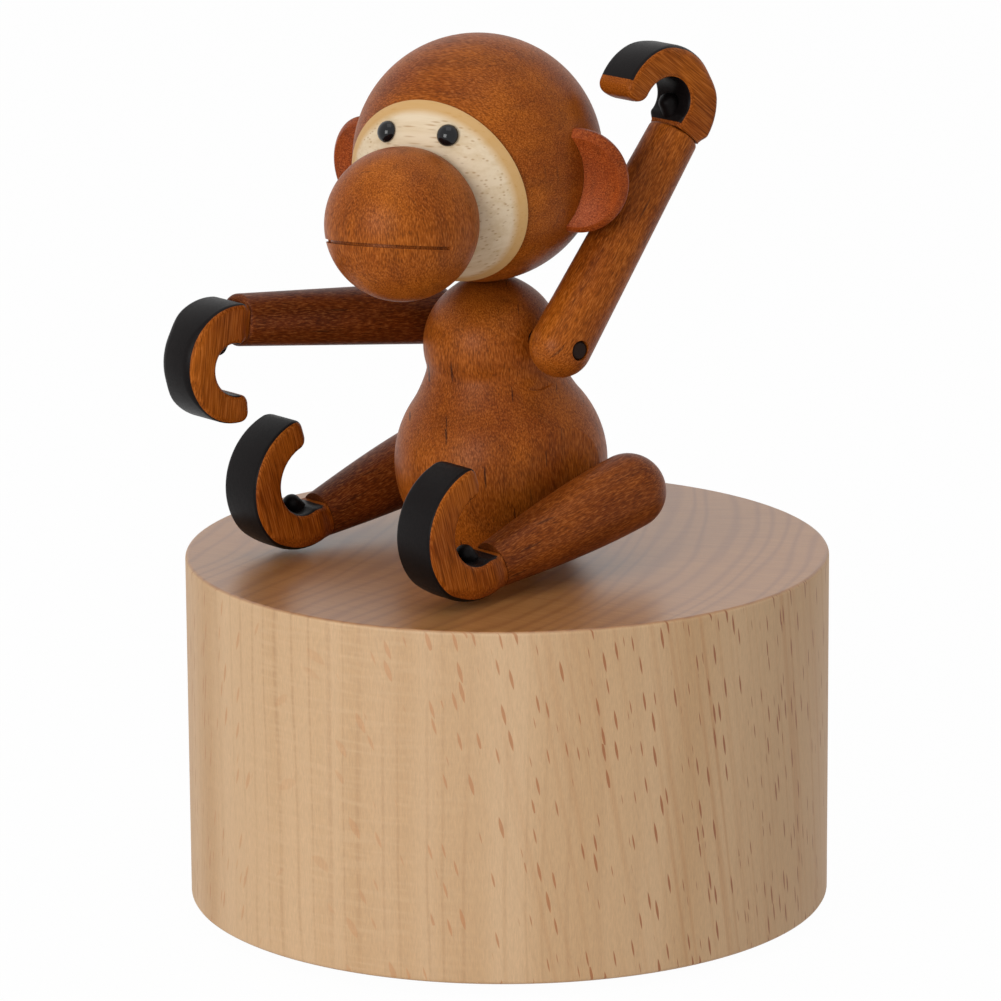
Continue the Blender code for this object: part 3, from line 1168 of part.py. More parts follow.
def main():
    """Clear the scene and build the music box."""
    for obj in list(bpy.data.objects):
        bpy.data.objects.remove(obj)
    across = (0.0, 0.5 * math.pi, 0.0)
    winding = joint_axis("winding_axis")
    spindle = joint_axis("spindle_axis")
    cylinder = joint_axis("cylinder_axis", None, (0.0, 0.0, TRAIN_Z), across)
    governor = joint_axis("governor_axis", None, (0.0, GOVERNOR_OFFSET, TRAIN_Z), across)
    fan = joint_axis("fan_axis", None, (WORM_X, WORM_Y, 0.0))
    make_drum()
    make_bush()
    make_base(winding)
    make_board()
    make_bedplate()
    make_clutch()
    make_bridge()
    make_governor_frame()
    make_comb()
    make_barrel(spindle)
    make_crown(spindle)
    make_mainspring(spindle)
    make_spindle(spindle)
    make_cylinder(cylinder)
    make_governor(governor)
    make_fan(fan)
    torso = joint_axis("torso_axis", spindle, (0.0, 0.0, TORSO_FOOT), (LEAN, 0.0, 0.0))
    make_torso(torso)
    head = joint_axis("head_axis", torso, (0.0, 0.0, HEAD_RISE), (0.0, 0.0, HEAD_TURN))
    make_head(head)
    make_limbs(torso)
    bpy.context.view_layer.update()


main()
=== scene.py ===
"""Looks of a wooden music box with a jointed toy monkey that revolves on its lid.

Metres, +Z up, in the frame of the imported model. The monkey faces -Y and its left side is +X.
Each visible piece is turned, sawn or bent here more finely than its solid, and gets the finish
of the real one: raw beech, stained beech, maple, brass, felt and so on.
"""
import json
from functools import partial
from math import asin, cos, degrees, dist, hypot, pi, radians, sin, sqrt, tan

import bmesh
import bpy
from mathutils import Matrix, Vector


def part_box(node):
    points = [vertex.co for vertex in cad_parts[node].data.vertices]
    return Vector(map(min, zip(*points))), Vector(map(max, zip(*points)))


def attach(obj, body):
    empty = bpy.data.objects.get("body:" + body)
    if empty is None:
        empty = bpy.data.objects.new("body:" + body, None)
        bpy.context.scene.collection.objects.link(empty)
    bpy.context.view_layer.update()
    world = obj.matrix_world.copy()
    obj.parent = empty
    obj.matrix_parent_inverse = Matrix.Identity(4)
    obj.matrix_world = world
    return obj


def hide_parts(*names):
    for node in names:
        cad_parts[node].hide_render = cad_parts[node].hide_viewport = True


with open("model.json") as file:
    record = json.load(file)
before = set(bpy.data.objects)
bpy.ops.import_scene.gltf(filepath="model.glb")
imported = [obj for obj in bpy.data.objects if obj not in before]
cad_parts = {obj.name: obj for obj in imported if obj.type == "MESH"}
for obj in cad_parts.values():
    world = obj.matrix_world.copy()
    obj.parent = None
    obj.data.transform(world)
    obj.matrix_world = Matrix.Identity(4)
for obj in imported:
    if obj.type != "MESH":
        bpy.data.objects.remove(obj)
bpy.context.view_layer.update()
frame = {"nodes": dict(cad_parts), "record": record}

MM = 0.001
TURN = 2.0 * pi
QUARTER = 0.5 * pi
UP = Vector((0.0, 0.0, 1.0))
JOINTS = {joint["name"]: joint["pos_m"] for joint in frame["record"]["behaviour"]["joints"]}

# Drum, with the disc that winds it
DRUM_RADIUS = 40.0 * MM
DRUM_LOW = 1.5 * MM
DRUM_TOP = 45.2 * MM
DRUM_EDGE = 0.45 * MM
MOUTH_RADIUS = 37.0 * MM
CAVITY_RADIUS = 33.0 * MM
LEDGE = 12.25 * MM
CEILING = 36.5 * MM
BUSH_HOLE = 3.15 * MM
BUSH_RADIUS = 3.0 * MM
BUSH_FLANGE = 0.9 * MM
SPINDLE_BORE = 1.65 * MM
FELT_RADIUS = 35.0 * MM
FELT_THICKNESS = 1.2 * MM
DISC_RADIUS = 36.2 * MM
DISC_LOW = 1.45 * MM
DISC_TOP = 5.45 * MM
PILOT_RADIUS = 1.05 * MM
PILOT_SPARE = 0.25 * MM

# Torso: two balls with a blended waist, in a frame that leans back over its foot
TORSO_FOOT = 46.45 * MM
LEAN = radians(5.0)
BELLY_RADIUS = 13.2 * MM
BELLY_RISE = 10.3 * MM
CHEST_RADIUS = 8.5 * MM
CHEST_RISE = 25.3 * MM
WAIST_BLEND = 5.6 * MM
CHEST_TOP = 33.6 * MM
CHEST_FLAT = 8.65 * MM
HIP_FLAT = 11.8 * MM
SPINDLE_DEPTH = 11.25 * MM
SHOULDER_AT = (0.3 * MM, 27.0 * MM)
HIP_AT = (4.2 * MM, 7.5 * MM)
DOWEL = 1.1 * MM
DOWEL_BORE = 1.25 * MM
NECK_PEG = 1.6 * MM
NECK_BORE = 1.75 * MM
NECK_PEG_DOWN = 4.55 * MM
NECK_PEG_UP = 10.25 * MM

# Head, in a frame that has +Z up the neck and -Y to the face
HEAD_TURN = radians(20.5)
HEAD_RADIUS = 15.3 * MM
HEAD_HALF_HEIGHT = 15.2 * MM
HEAD_FOOT = 15.0 * MM
NECK_GAP = 0.25 * MM
FACE_PITCH = radians(-10.3)
FACE_FLAT = 9.7 * MM
FACE_PROUD = 0.35 * MM
FACE_GAP = 0.2 * MM
MUZZLE_SEAT = 14.0 * MM
MUZZLE_RADIUS = 9.3 * MM
MUZZLE_CENTRE = 19.3 * MM
MOUTH_DROP = 2.4 * MM
MOUTH_TILT = radians(-14.0)
MOUTH_BACK = 3.2 * MM
MOUTH_WIDTH = 0.4 * MM
MOUTH_DEPTH = 0.6 * MM
EYE_RADIUS = 1.35 * MM
EYE_SHANK = 0.6 * MM
EYE_SHANK_LENGTH = 2.2 * MM
EYE_SIDE = radians(17.0)
EYE_RISE = radians(24.0)
EAR_RADIUS = 6.48 * MM
EAR_OFFSET = 14.6 * MM
EAR_DROP = 1.7 * MM
EAR_BACK = 0.2 * MM
EAR_DEPTH = 5.2 * MM
EAR_DISH = 1.1 * MM
EAR_RIM = 0.9 * MM
EAR_OUTWARD = radians(15.0)

# Limbs, each in a frame with +Z along it from its joint
ARM_LENGTH = 30.2 * MM
ARM_SHOULDER = 3.85 * MM
ARM_WRIST = 3.2 * MM
LEG_LENGTH = 20.6 * MM
LEG_HIP = 4.7 * MM
LEG_HEEL_OF_HIP = 1.8 * MM
LEG_ANKLE = 2.9 * MM
LEG_BORE_DEPTH = 2.75 * MM
TENON = 1.2 * MM
TENON_LENGTH = 3.0 * MM

# Mittens: a hand's and a foot's straight part, curl at its start and end, sweep, root radius,
# half thickness, half width and half thickness at the tip
HAND = (1.5 * MM, 4.7 * MM, 5.9 * MM, radians(190.0), 3.2 * MM, 2.5 * MM, 3.4 * MM, 1.7 * MM)
FOOT = (2.6 * MM, 5.2 * MM, 7.3 * MM, radians(178.0), 2.9 * MM, 2.5 * MM, 3.5 * MM, 1.9 * MM)
MITTEN_CORNER = 0.75 * MM
# where a mitten's outer edges are rounder, to turn clear of the lid: angle on its curl and radius
HAND_CLEAR = (radians(90.0), 1.7 * MM)
FOOT_CLEAR = (radians(14.5), 2.35 * MM)
CLEAR_FULL = radians(22.0)
CLEAR_ENDS = radians(52.0)
CORNER_STEPS, ROOT_STEPS, CURL_STEPS, TIP_STEPS = 7, 8, 44, 8
TIP_STEP = radians(10.5)
THUMB_RADIUS = 1.2 * MM
THUMB_LENGTH = 2.6 * MM
THUMB_LEAN = radians(62.0)

# Tones of the woods, before the light: the drum's sides and ends, the figure's stain, redder on
# the ears, and the face. The legs and the right arm are given darker tones of the stain
BEECH_LIGHT, BEECH_MID, BEECH_LINE, BEECH_STREAK = "CDA980", "BF976A", "9A6A3A", "B07A48"
RAY_FAINT, RAY_CLEAR = "BC7C46", "92552A"
END_GRAIN_LIGHT, END_GRAIN_MID, END_GRAIN_LINE = "B6814B", "976030", "784320"
STAIN, RED_STAIN = ("AC5A12", "803807"), ("A84A14", "83340F")
LEG_STAIN, DARKER_TONE = ("93490F", "6C2E07"), ("7C370C", "582406")
# the last tan is for the grain's light flecks and for painted glints on the pores
STAIN_LAYER, STAIN_STROKE, STAIN_FLECK_AND_GLINT = "451704", "2A0E04", "B07A45"
MAPLE_LIGHT, MAPLE_MID, MAPLE_DASH, MAPLE_RIM = "E2CEB0", "D3BA94", "A97F52", "C99B5B"
# the drum's block was sawn well off the tree's heart, which lies behind the figure's right side
TREE_HEART = (-81.9 * MM, -57.3 * MM)
RING_SPACING = 2.5 * MM
RING_WANDER = 1.6 * MM
RAY_LEAN = 0.1
TORSO_GRAIN_TURN = radians(-40.0)

# The movement's board and pinned cylinder, and the screws: shank's and head's radius, head's height
BOARD_LOW = 9.0 * MM
BOARD_PLY = 1.0 * MM
CYLINDER_RADIUS = 4.9 * MM
CYLINDER_BORE = 0.95 * MM
COMB_TEETH = 18
COMB_PITCH = 0.56 * MM
PIN_HEIGHT = 0.5 * MM
PIN_WIDTH = 0.26 * MM
PINS_PER_TRACK = 9
WOOD_KIND = (0.9 * MM, 1.6 * MM, 0.8 * MM)
SMALL_KIND = (0.7 * MM, 1.3 * MM, 0.7 * MM)

# Studio: each lamp's name, place, size and power, and how white the room and the paper are
LAMPS = (("key", (0.21, -0.73, 0.26), 0.35, 2.8), ("top", (0.10, -0.10, 0.80), 0.50, 0.8))
LAMPS_AIM = Vector((0.0, 0.0, 0.05))
ROOM_LIGHT = 0.51
PAPER_WHITE = 0.98
PAPER_SIZE = 3.0

# Camera of the photograph: its place before it turns about the spindle, its angles and its lens
CAMERA_AT = (0.0, -713.96 * MM, 227.8 * MM)
CAMERA_TURN = radians(50.0)
CAMERA_YAW = -0.0011
CAMERA_PITCH = 0.2423
CAMERA_ROLL = -0.0066
CAMERA_LENS = 213.05
CAMERA_SENSOR = 36.0
CAMERA_NEAR = 0.05

SHADER = "Principled BSDF"
COLOURS = {"out": 2, "data_type": "RGBA"}


def linear(code):
    """A linear colour from an sRGB hex code."""
    channels = [int(code[i : i + 2], 16) / 255.0 for i in (0, 2, 4)]
    return [c / 12.92 if c <= 0.04045 else ((c + 0.055) / 1.055) ** 2.4 for c in channels] + [1.0]


def add_node(tree, kind, inputs=(), out=0, **settings):
    """Add a node, set or link its inputs, and return one of its outputs, or the node itself. A word
    after the kind is its operation. A tuple gives the inputs in order, a list holds the sockets that
    share an input, and text stands for an sRGB colour."""
    kind, *operation = kind.split()
    families = ("ShaderNode", "GeometryNode", "FunctionNode", "")
    node = tree.nodes.new(next(family + kind for family in families if hasattr(bpy.types, family + kind)))
    for word in operation:
        node.operation = word
    for key, value in settings.items():
        setattr(node, key, value)
    for key, values in inputs.items() if isinstance(inputs, dict) else enumerate(inputs):
        for value in values if isinstance(values, list) else [values]:
            if isinstance(value, bpy.types.NodeSocket):
                tree.links.new(value, node.inputs[key])
            else:
                node.inputs[key].default_value = linear(value) if isinstance(value, str) else value
    return node if out is None else node.outputs[out]


def cells(x, y, z):
    """Scale of a pattern whose cells measure so many millimetres along each axis."""
    return (1.0 / (x * MM), 1.0 / (y * MM), 1.0 / (z * MM))


def blank(name, **levels):
    """A new material with its shader's plain levels set, what adds a node to it, and its Object
    coordinates."""
    material = bpy.data.materials.new(name)
    material.use_nodes = True
    for level, value in levels.items():
        material.node_tree.nodes[SHADER].inputs[level.replace("_", " ")].default_value = value
    add = partial(add_node, material.node_tree)
    return material, add, add("TexCoord", out="Object")


def finished(material, colour, rough=None, height=None, strength=0.0, depth=0.0, sunk=False):
    """The material with its colour, its roughness where that varies, and its relief, if any."""
    tree = material.node_tree
    inputs = tree.nodes[SHADER].inputs
    tree.links.new(colour, inputs["Base Color"])
    if rough is not None:
        tree.links.new(rough, inputs["Roughness"])
    if height is not None:
        bump = {"Height": height, "Strength": strength, "Distance": depth}
        tree.links.new(add_node(tree, "Bump", bump, invert=sunk), inputs["Normal"])
    return material


def in_grain(add, place, grain):
    """Object coordinates seen from a piece's own frame, with the grain along its Z."""
    inputs = {"Vector": place, "Location": grain.to_translation(), "Rotation": grain.to_euler()}
    return add("Mapping", inputs, vector_type="TEXTURE")


def marks(add, place, size, detail, roughness=0.5):
    """A cloudy pattern whose marks measure so many millimetres along each axis."""
    spot = add("Mapping", {"Vector": place, "Scale": cells(*size)})
    return add("TexNoise", {"Vector": spot, "Scale": 1.0, "Detail": detail, "Roughness": roughness})


def tinted(add, wood, pattern, low, high, amount, colour):
    """The wood with a colour over it where a pattern goes from low to high, up to an amount."""
    share = add("MapRange", (pattern, low, high, 0.0, amount))
    return add("Mix", {0: share, 6: wood, 7: colour}, **COLOURS)


def ray_ends(add, place, size, slender, large, edge, amount=1.0, randomness=1.0):
    """Lens-shaped dashes where the wood's rays end, one to a cell and some larger than others."""
    spot = add("Mapping", {"Vector": place, "Scale": cells(*size)})
    ray = add("TexVoronoi", {"Vector": spot, "Scale": 1.0, "Randomness": randomness}, None)
    some = add("SeparateColor", (ray.outputs["Color"],))
    apart = add("VectorMath SUBTRACT", (spot, ray.outputs["Position"]))
    apart = add("VectorMath MULTIPLY", (apart, slender))
    parts = add("SeparateXYZ", (apart,), None).outputs
    lens = add("Math ABSOLUTE", (parts[1],))
    for side in (0, 2):
        lens = add("Math MULTIPLY_ADD", (parts[side], parts[side], lens))
    large = add("MapRange", (some, *large))
    dash = add("Math SUBTRACT", (large, lens))
    return add("MapRange", (dash, 0.0, edge, 0.0, amount))


def stained_wood(name, grain, strokes, stain, fibre=0.9, gloss=0.12):
    """The start of stained beech: its material, what adds a node, its place in the grain, its colour."""
    material, add, place = blank(name, Specular_IOR_Level=gloss)
    spot = in_grain(add, place, grain)
    drift = marks(add, spot, (7.0, 7.0, 12.0), 3.0, 0.6)
    wood = tinted(add, stain[1], drift, 0.26, 0.74, 1.0, stain[0])
    layer = marks(add, spot, (1.4, 2.6, 26.0), 2.0)
    wood = tinted(add, wood, layer, 0.5, 0.74, 0.3, STAIN_LAYER)
    slender, large = (2.6, 17.0, 3.8), (0.2, 0.8, 0.0, 1.2)
    stroke = ray_ends(add, spot, (3.4, 2.2, 6.0), slender, large, 0.25, strokes)
    wood = add("Mix", {0: stroke, 6: wood, 7: STAIN_STROKE}, **COLOURS)
    pore = marks(add, spot, (0.15, 0.15, fibre), 2.0, 0.6)
    # the pores brighten and darken the colour: partly the grain's own flecks, partly painted glints
    glint = add("MapRange", (pore, 0.3, 0.72, 0.45, 1.4))
    wood = add("VectorMath SCALE", {0: wood, "Scale": glint})
    # a tan over the brightest pores: partly the grain's light flecks, partly painted glints
    wood = tinted(add, wood, pore, 0.5, 0.75, 0.32, STAIN_FLECK_AND_GLINT)
    rough = add("MapRange", (pore, 0.3, 0.7, 0.5, 0.36))
    return finished(material, wood, rough, pore, 0.5, 0.035 * MM), add, spot, wood


def stained_beech(name, grain, strokes, stain):
    """Beech, sanded, stained reddish brown and oiled. The eye sees a satin surface full of short
    bright and dark flecks along the grain, the bright ones partly painted glints, cloudy where it
    took more stain, with a few thin dark strokes where the rays end."""
    return stained_wood(name, grain, strokes, stain)[0]


def dipped_beech(name, grain):
    """Stained beech whose sawn curves were dipped near black: a dull black-brown band with its grain
    still raised, against the flat brown sides."""
    material, add, spot, wood = stained_wood(name, grain, 0.4, STAIN, 4.0, 0.08)
    dip = add("Attribute", out="Fac", attribute_name="dipped")
    raised = marks(add, spot, (0.3, 2.0, 0.3), 3.0)
    black = add("Mix", {0: raised, 6: "080707", 7: "181313"}, **COLOURS)
    return finished(material, add("Mix", {0: dip, 6: wood, 7: black}, **COLOURS))


def raw_beech(name, heart, low, high):
    """Steamed beech, turned and sanded, unfinished. The grain runs up the drum. The growth rings show
    as fine lines where the saw ran across them. The rays show as slender brown dashes where it ran
    along them, among faint leaning streaks. The end grain on top is browner and smoother, with the
    rings as thin arcs, and shows the figure's brown in its satin."""
    material, add, place = blank(name, Specular_IOR_Level=0.75)
    # the way from the tree's heart, then coordinates out from it, round it and up it
    flat = add("VectorMath MULTIPLY", (place, (1.0, 1.0, 0.0)))
    away = add("VectorMath SUBTRACT", (flat, (*heart, 0.0)))
    reach = add("VectorMath LENGTH", (away,), "Value")
    parts = add("SeparateXYZ", (away,), None).outputs
    angle = add("Math ARCTAN2", (parts[1], parts[0]))
    height = add("SeparateXYZ", (place,), "Z")
    slant = add("Math MULTIPLY", (height, RAY_LEAN))
    along = add("Math MULTIPLY_ADD", (angle, hypot(*heart), slant))
    wavy = add("TexNoise", {"Vector": place, "Scale": 40.0, "Detail": 1.0})
    bent = add("Math MULTIPLY_ADD", (wavy, RING_WANDER, reach))
    polar = add("CombineXYZ", (bent, along, height))
    # 1 where the surface runs along the rings and 0 where it runs across them
    outward_way = add("VectorMath NORMALIZE", (flat,))
    ring_way = add("VectorMath NORMALIZE", (away,))
    level = add("VectorMath DOT_PRODUCT", (outward_way, ring_way), "Value")
    level = add("Math ABSOLUTE", (level,))
    season = add("MapRange", (marks(add, polar, (6.0, 40.0, 260.0), 1.0), 0.35, 0.68))
    wood = add("Mix", {0: season, 6: BEECH_LIGHT, 7: BEECH_MID}, **COLOURS)
    years = add("Math MULTIPLY_ADD", (bent, 1.0 / RING_SPACING, season))
    year = add("Math PINGPONG", (years, 0.5))
    firm = add("MapRange", (level, 0.3, 0.85, 0.3, 0.08))
    firm = add("MapRange", (wavy, 0.35, 0.65, 0.05, firm))
    line = add("MapRange", (year, 0.15, 0.0, 0.0, firm), interpolation_type="SMOOTHSTEP")
    wood = add("Mix", {0: line, 6: wood, 7: BEECH_LINE}, **COLOURS)
    across = add("MapRange", (level, 0.65, 0.15, 0.0, 0.5))
    shimmer = marks(add, polar, (5.0, 5.0, 0.55), 1.0)
    wood = tinted(add, wood, shimmer, 0.45, 0.7, across, BEECH_LIGHT)
    faint = add("MapRange", (level, 0.4, 0.9, 0.0, 0.45))
    streak = marks(add, polar, (30.0, 0.6, 60.0), 1.0)
    wood = tinted(add, wood, streak, 0.52, 0.72, faint, BEECH_STREAK)
    slender, large = (2.4, 9.5, 2.6), (0.1, 0.7, 0.2, 1.25)
    dash = ray_ends(add, polar, (4.4, 0.95, 3.5), slender, large, 0.3, randomness=0.85)
    clear = add("MapRange", (level, 0.05, 0.7, 0.16, 0.95))
    amount = add("Math MULTIPLY", (dash, clear))
    tint = tinted(add, RAY_FAINT, level, 0.35, 0.9, 1.0, RAY_CLEAR)
    wood = add("Mix", {0: amount, 6: wood, 7: tint}, **COLOURS)
    top = add("MapRange", (height, high - 0.25 * MM, high - 0.03 * MM))
    foot = add("MapRange", (height, low + 0.25 * MM, low + 0.03 * MM))
    ends = add("Math MAXIMUM", (top, foot))
    arcs = add("MapRange", (year, 0.32, 0.0, 0.0, 0.38), interpolation_type="SMOOTHSTEP")
    spoke = marks(add, polar, (6.0, 0.35, 90.0), 2.0)
    face = add("Mix", {0: spoke, 6: END_GRAIN_LIGHT, 7: END_GRAIN_MID}, **COLOURS)
    face = add("Mix", {0: arcs, 6: face, 7: END_GRAIN_LINE}, **COLOURS)
    wood = add("Mix", {0: ends, 6: wood, 7: face}, **COLOURS)
    pore = marks(add, place, (0.16, 0.16, 1.1), 2.0, 0.7)
    glint = add("MapRange", (pore, 0.3, 0.75, 0.9, 1.07))
    wood = add("VectorMath SCALE", {0: wood, "Scale": glint})
    rough = add("MapRange", {0: ends, 3: 0.58, 4: 0.33})
    hollow = add("Math MULTIPLY_ADD", (amount, 0.7, pore))
    return finished(material, wood, rough, hollow, 0.3, 0.03 * MM, sunk=True)


def pale_maple(name, grain, look, rim):
    """Maple, planed and left pale: nearly even cream with fine golden dashes across the face, and a
    more golden tone on the rim, where the grain ends."""
    material, add, place = blank(name, Roughness=0.55, Specular_IOR_Level=0.2)
    spot = in_grain(add, place, grain)
    drift = marks(add, spot, (1.1, 1.1, 12.0), 3.0, 0.65)
    wood = tinted(add, MAPLE_LIGHT, drift, 0.4, 0.72, 1.0, MAPLE_MID)
    rays = add("Mapping", {"Vector": spot, "Scale": cells(0.45, 0.45, 5.0)})
    ray = add("TexVoronoi", {"Vector": rays, "Scale": 1.0}, "Distance")
    ray = add("MapRange", (ray, 0.32, 0.1, 0.0, 0.6))
    wood = add("Mix", {0: ray, 6: wood, 7: MAPLE_DASH}, **COLOURS)
    depth = add("VectorMath DOT_PRODUCT", (place, look), "Value")
    wood = tinted(add, wood, depth, rim + 1.5 * MM, rim + 0.8 * MM, 0.85, MAPLE_RIM)
    return finished(material, wood, None, ray, 0.25, 0.03 * MM, sunk=True)


def black_bead(name):
    """Glass bead, fire-polished black: a hard bright highlight on near black."""
    material, add, place = blank(name, IOR=1.52, Specular_IOR_Level=0.3)
    haze = add("TexNoise", {"Vector": place, "Scale": 900.0, "Detail": 2.0})
    rough = add("MapRange", (haze, 0.3, 0.7, 0.04, 0.12))
    return finished(material, add("Mix", {0: haze, 6: "08080A", 7: "121216"}, **COLOURS), rough)


def stained_peg_end(name):
    """End grain of a birch dowel, dipped dark: matt brown-black with open pores."""
    material, add, place = blank(name, Roughness=0.6, Specular_IOR_Level=0.1)
    pore = marks(add, place, (1.5, 0.16, 0.16), 3.0)
    tone = add("Mix", {0: pore, 6: "140D0B", 7: "2F1C13"}, **COLOURS)
    return finished(material, tone, None, pore, 0.4, 0.04 * MM)


def worked_metal(name, code, dark, rough, grit, relief):
    """A metal whose working left a mark of one size: grit in millimetres along each axis."""
    material, add, place = blank(name, Metallic=1.0)
    mark = marks(add, place, grit, 3.0, 0.6)
    tone = add("Mix", {0: mark, 6: code, 7: dark}, **COLOURS)
    dull = add("MapRange", (mark, 0.3, 0.7, rough - 0.08, rough + 0.1))
    return finished(material, tone, dull, mark, relief, 0.02 * MM)


def pressed_felt(name):
    """Wool felt, pressed and cut: a dull matt surface of short tangled fibres."""
    material, add, place = blank(name, Roughness=0.95, Sheen_Weight=0.4)
    fibre = add("TexNoise", {"Vector": place, "Scale": 2600.0, "Detail": 4.0, "Distortion": 1.5})
    cloud = add("TexNoise", {"Vector": place, "Scale": 160.0, "Detail": 2.0})
    both = add("Math MULTIPLY_ADD", (fibre, 0.7, cloud))
    tint = tinted(add, "2E3B30", both, 0.6, 1.1, 1.0, "4D5F4E")
    return finished(material, tint, None, fibre, 0.8, 0.15 * MM)


def birch_plywood(name, low, ply):
    """Birch plywood, sawn round: pale faces, and on the edge its plies in turn light and dark."""
    material, add, place = blank(name, Roughness=0.62)
    height = add("SeparateXYZ", (place,), "Z")
    layer = add("MapRange", (height, low, low + 2.0 * ply), clamp=False)
    layer = add("Math PINGPONG", (layer, 1.0))
    streak = marks(add, place, (12.0, 0.7, 0.7), 3.0)
    light = add("Mix", {0: streak, 6: "DEC49A", 7: "C8A878"}, **COLOURS)
    wood = tinted(add, light, layer, 0.45, 0.55, 1.0, "B58C5C")
    return finished(material, wood, None, streak, 0.2, 0.05 * MM)


def moulded_nylon(name):
    """Natural nylon, injection moulded: milky white, slightly waxy, with a faint flow mark."""
    material, add, place = blank(name, IOR=1.53)
    flow = add("TexNoise", {"Vector": place, "Scale": 500.0, "Detail": 2.0})
    rough = add("MapRange", (flow, 0.3, 0.7, 0.38, 0.5))
    return finished(material, add("Mix", {0: flow, 6: "EDE8DC", 7: "DDD6C6"}, **COLOURS), rough)


def seen_plainly(add):
    """1 for what the camera sees, by itself, in a reflection or through glass, and 0 for light."""
    path = add("LightPath", out=None).outputs
    seen = add("Math MAXIMUM", (path["Is Camera Ray"], path["Is Glossy Ray"]))
    return add("Math MAXIMUM", (seen, path["Is Transmission Ray"]))


def studio_floor(name):
    """Seamless white paper: pure white to the camera, with the object's shadow left on it."""
    material, add, _ = blank(name, Roughness=0.9, Base_Color=linear("E2E2E2"))
    tree = material.node_tree
    part = add("Math MULTIPLY", (seen_plainly(add), PAPER_WHITE))
    white = add("Emission", {"Color": "FFFFFF", "Strength": 1.0})
    mixed = add("MixShader", (part, tree.nodes[SHADER].outputs[0], white))
    tree.links.new(mixed, tree.nodes["Material Output"].inputs["Surface"])
    return material


def shape_tree(name, *inputs):
    """What adds a node to a new geometry tree, and the tree's inputs, from (kind, name, name ...)."""
    tree = bpy.data.node_groups.new(name, "GeometryNodeTree")
    for kind, *words in (*inputs, ("Material", "Finish")):
        for word in words:
            tree.interface.new_socket(word, in_out="INPUT", socket_type=f"NodeSocket{kind}")
    tree.interface.new_socket("Geometry", in_out="OUTPUT", socket_type="NodeSocketGeometry")
    add = partial(add_node, tree)
    return add, add("NodeGroupInput", out=None).outputs


def closed(add, given, shape):
    """The tree with its shape made one mesh of one finish."""
    shape = add("RealizeInstances", {"Geometry": shape})
    shape = add("SetMaterial", {"Geometry": shape, "Material": given["Finish"]})
    return add("NodeGroupOutput", {"Geometry": shape}, None).id_data


def row_of(add, number, length):
    """The row that a number falls in, where each row holds so many, safe from rounding."""
    row = add("Math ADD", (add("Math DIVIDE", (number, length)), 0.0001))
    return add("Math FLOOR", (row,))


def lathe_tree():
    """Geometry nodes that turn a profile, a row of points in the XZ plane, round Z."""
    add, given = shape_tree("turned on the lathe", ("Geometry", "Profile"), ("Int", "Rows", "Sides"))
    around = add("Math ADD", (given["Sides"], 1.0))
    grid = add("MeshGrid", {"Vertices X": given["Rows"], "Vertices Y": around}, "Mesh")
    number = add("InputIndex")
    row = row_of(add, number, around)
    step = add("Math MODULO", (number, around))
    share = add("Math DIVIDE", (step, given["Sides"]))
    angle = add("Math MULTIPLY", (share, TURN))
    point = {"Geometry": given["Profile"], "Value": add("InputPosition"), "Index": row}
    point = add("SampleIndex", point, "Value", data_type="FLOAT_VECTOR", domain="POINT")
    spun = {"Vector": point, "Axis": (0.0, 0.0, 1.0), "Angle": angle}
    spun = add("VectorRotate", spun, rotation_type="AXIS_ANGLE")
    shape = add("SetPosition", {"Geometry": grid, "Position": spun})
    return closed(add, given, add("MergeByDistance", {"Geometry": shape, "Distance": 0.001 * MM}))


def screw_tree():
    """Geometry nodes that set slotted screws at points, each with its slot turned at random."""
    sizes = ("Length", "Shank", "Head", "Head Height", "Flip")
    add, given = shape_tree("slotted screws", ("Geometry", "Places"), ("Float", *sizes), ("Int", "Seed"))
    tall, wide = given["Head Height"], given["Head"]
    head = add("MeshCylinder", {"Vertices": 32, "Radius": wide, "Depth": tall}, "Mesh")
    drop = add("CombineXYZ", {2: add("Math MULTIPLY", (tall, -0.5))})
    head = add("Transform", {"Geometry": head, "Translation": drop})
    across = add("Math MULTIPLY", (wide, 2.4))
    narrow = add("Math MULTIPLY", (wide, 0.28))
    slot = add("MeshCube", {"Size": add("CombineXYZ", (across, narrow, tall))}, "Mesh")
    head = add("MeshBoolean DIFFERENCE", {"Mesh 1": head, "Mesh 2": slot}, "Mesh")
    rest = add("Math SUBTRACT", (given["Length"], tall))
    shank = add("MeshCylinder", {"Vertices": 20, "Radius": given["Shank"], "Depth": rest}, "Mesh")
    half = add("Math MULTIPLY_ADD", (rest, -0.5, 0.0))
    drop = add("CombineXYZ", {2: add("Math SUBTRACT", (half, tall))})
    shank = add("Transform", {"Geometry": shank, "Translation": drop})
    screw = add("JoinGeometry", {"Geometry": [head, shank]})
    number = add("InputIndex")
    angle = add("RandomValue", {2: 0.0, 3: TURN, 7: number, 8: given["Seed"]}, 1)
    turn = add("CombineXYZ", {0: given["Flip"], 2: angle})
    placed = {"Points": given["Places"], "Instance": screw, "Rotation": turn}
    return closed(add, given, add("InstanceOnPoints", placed))


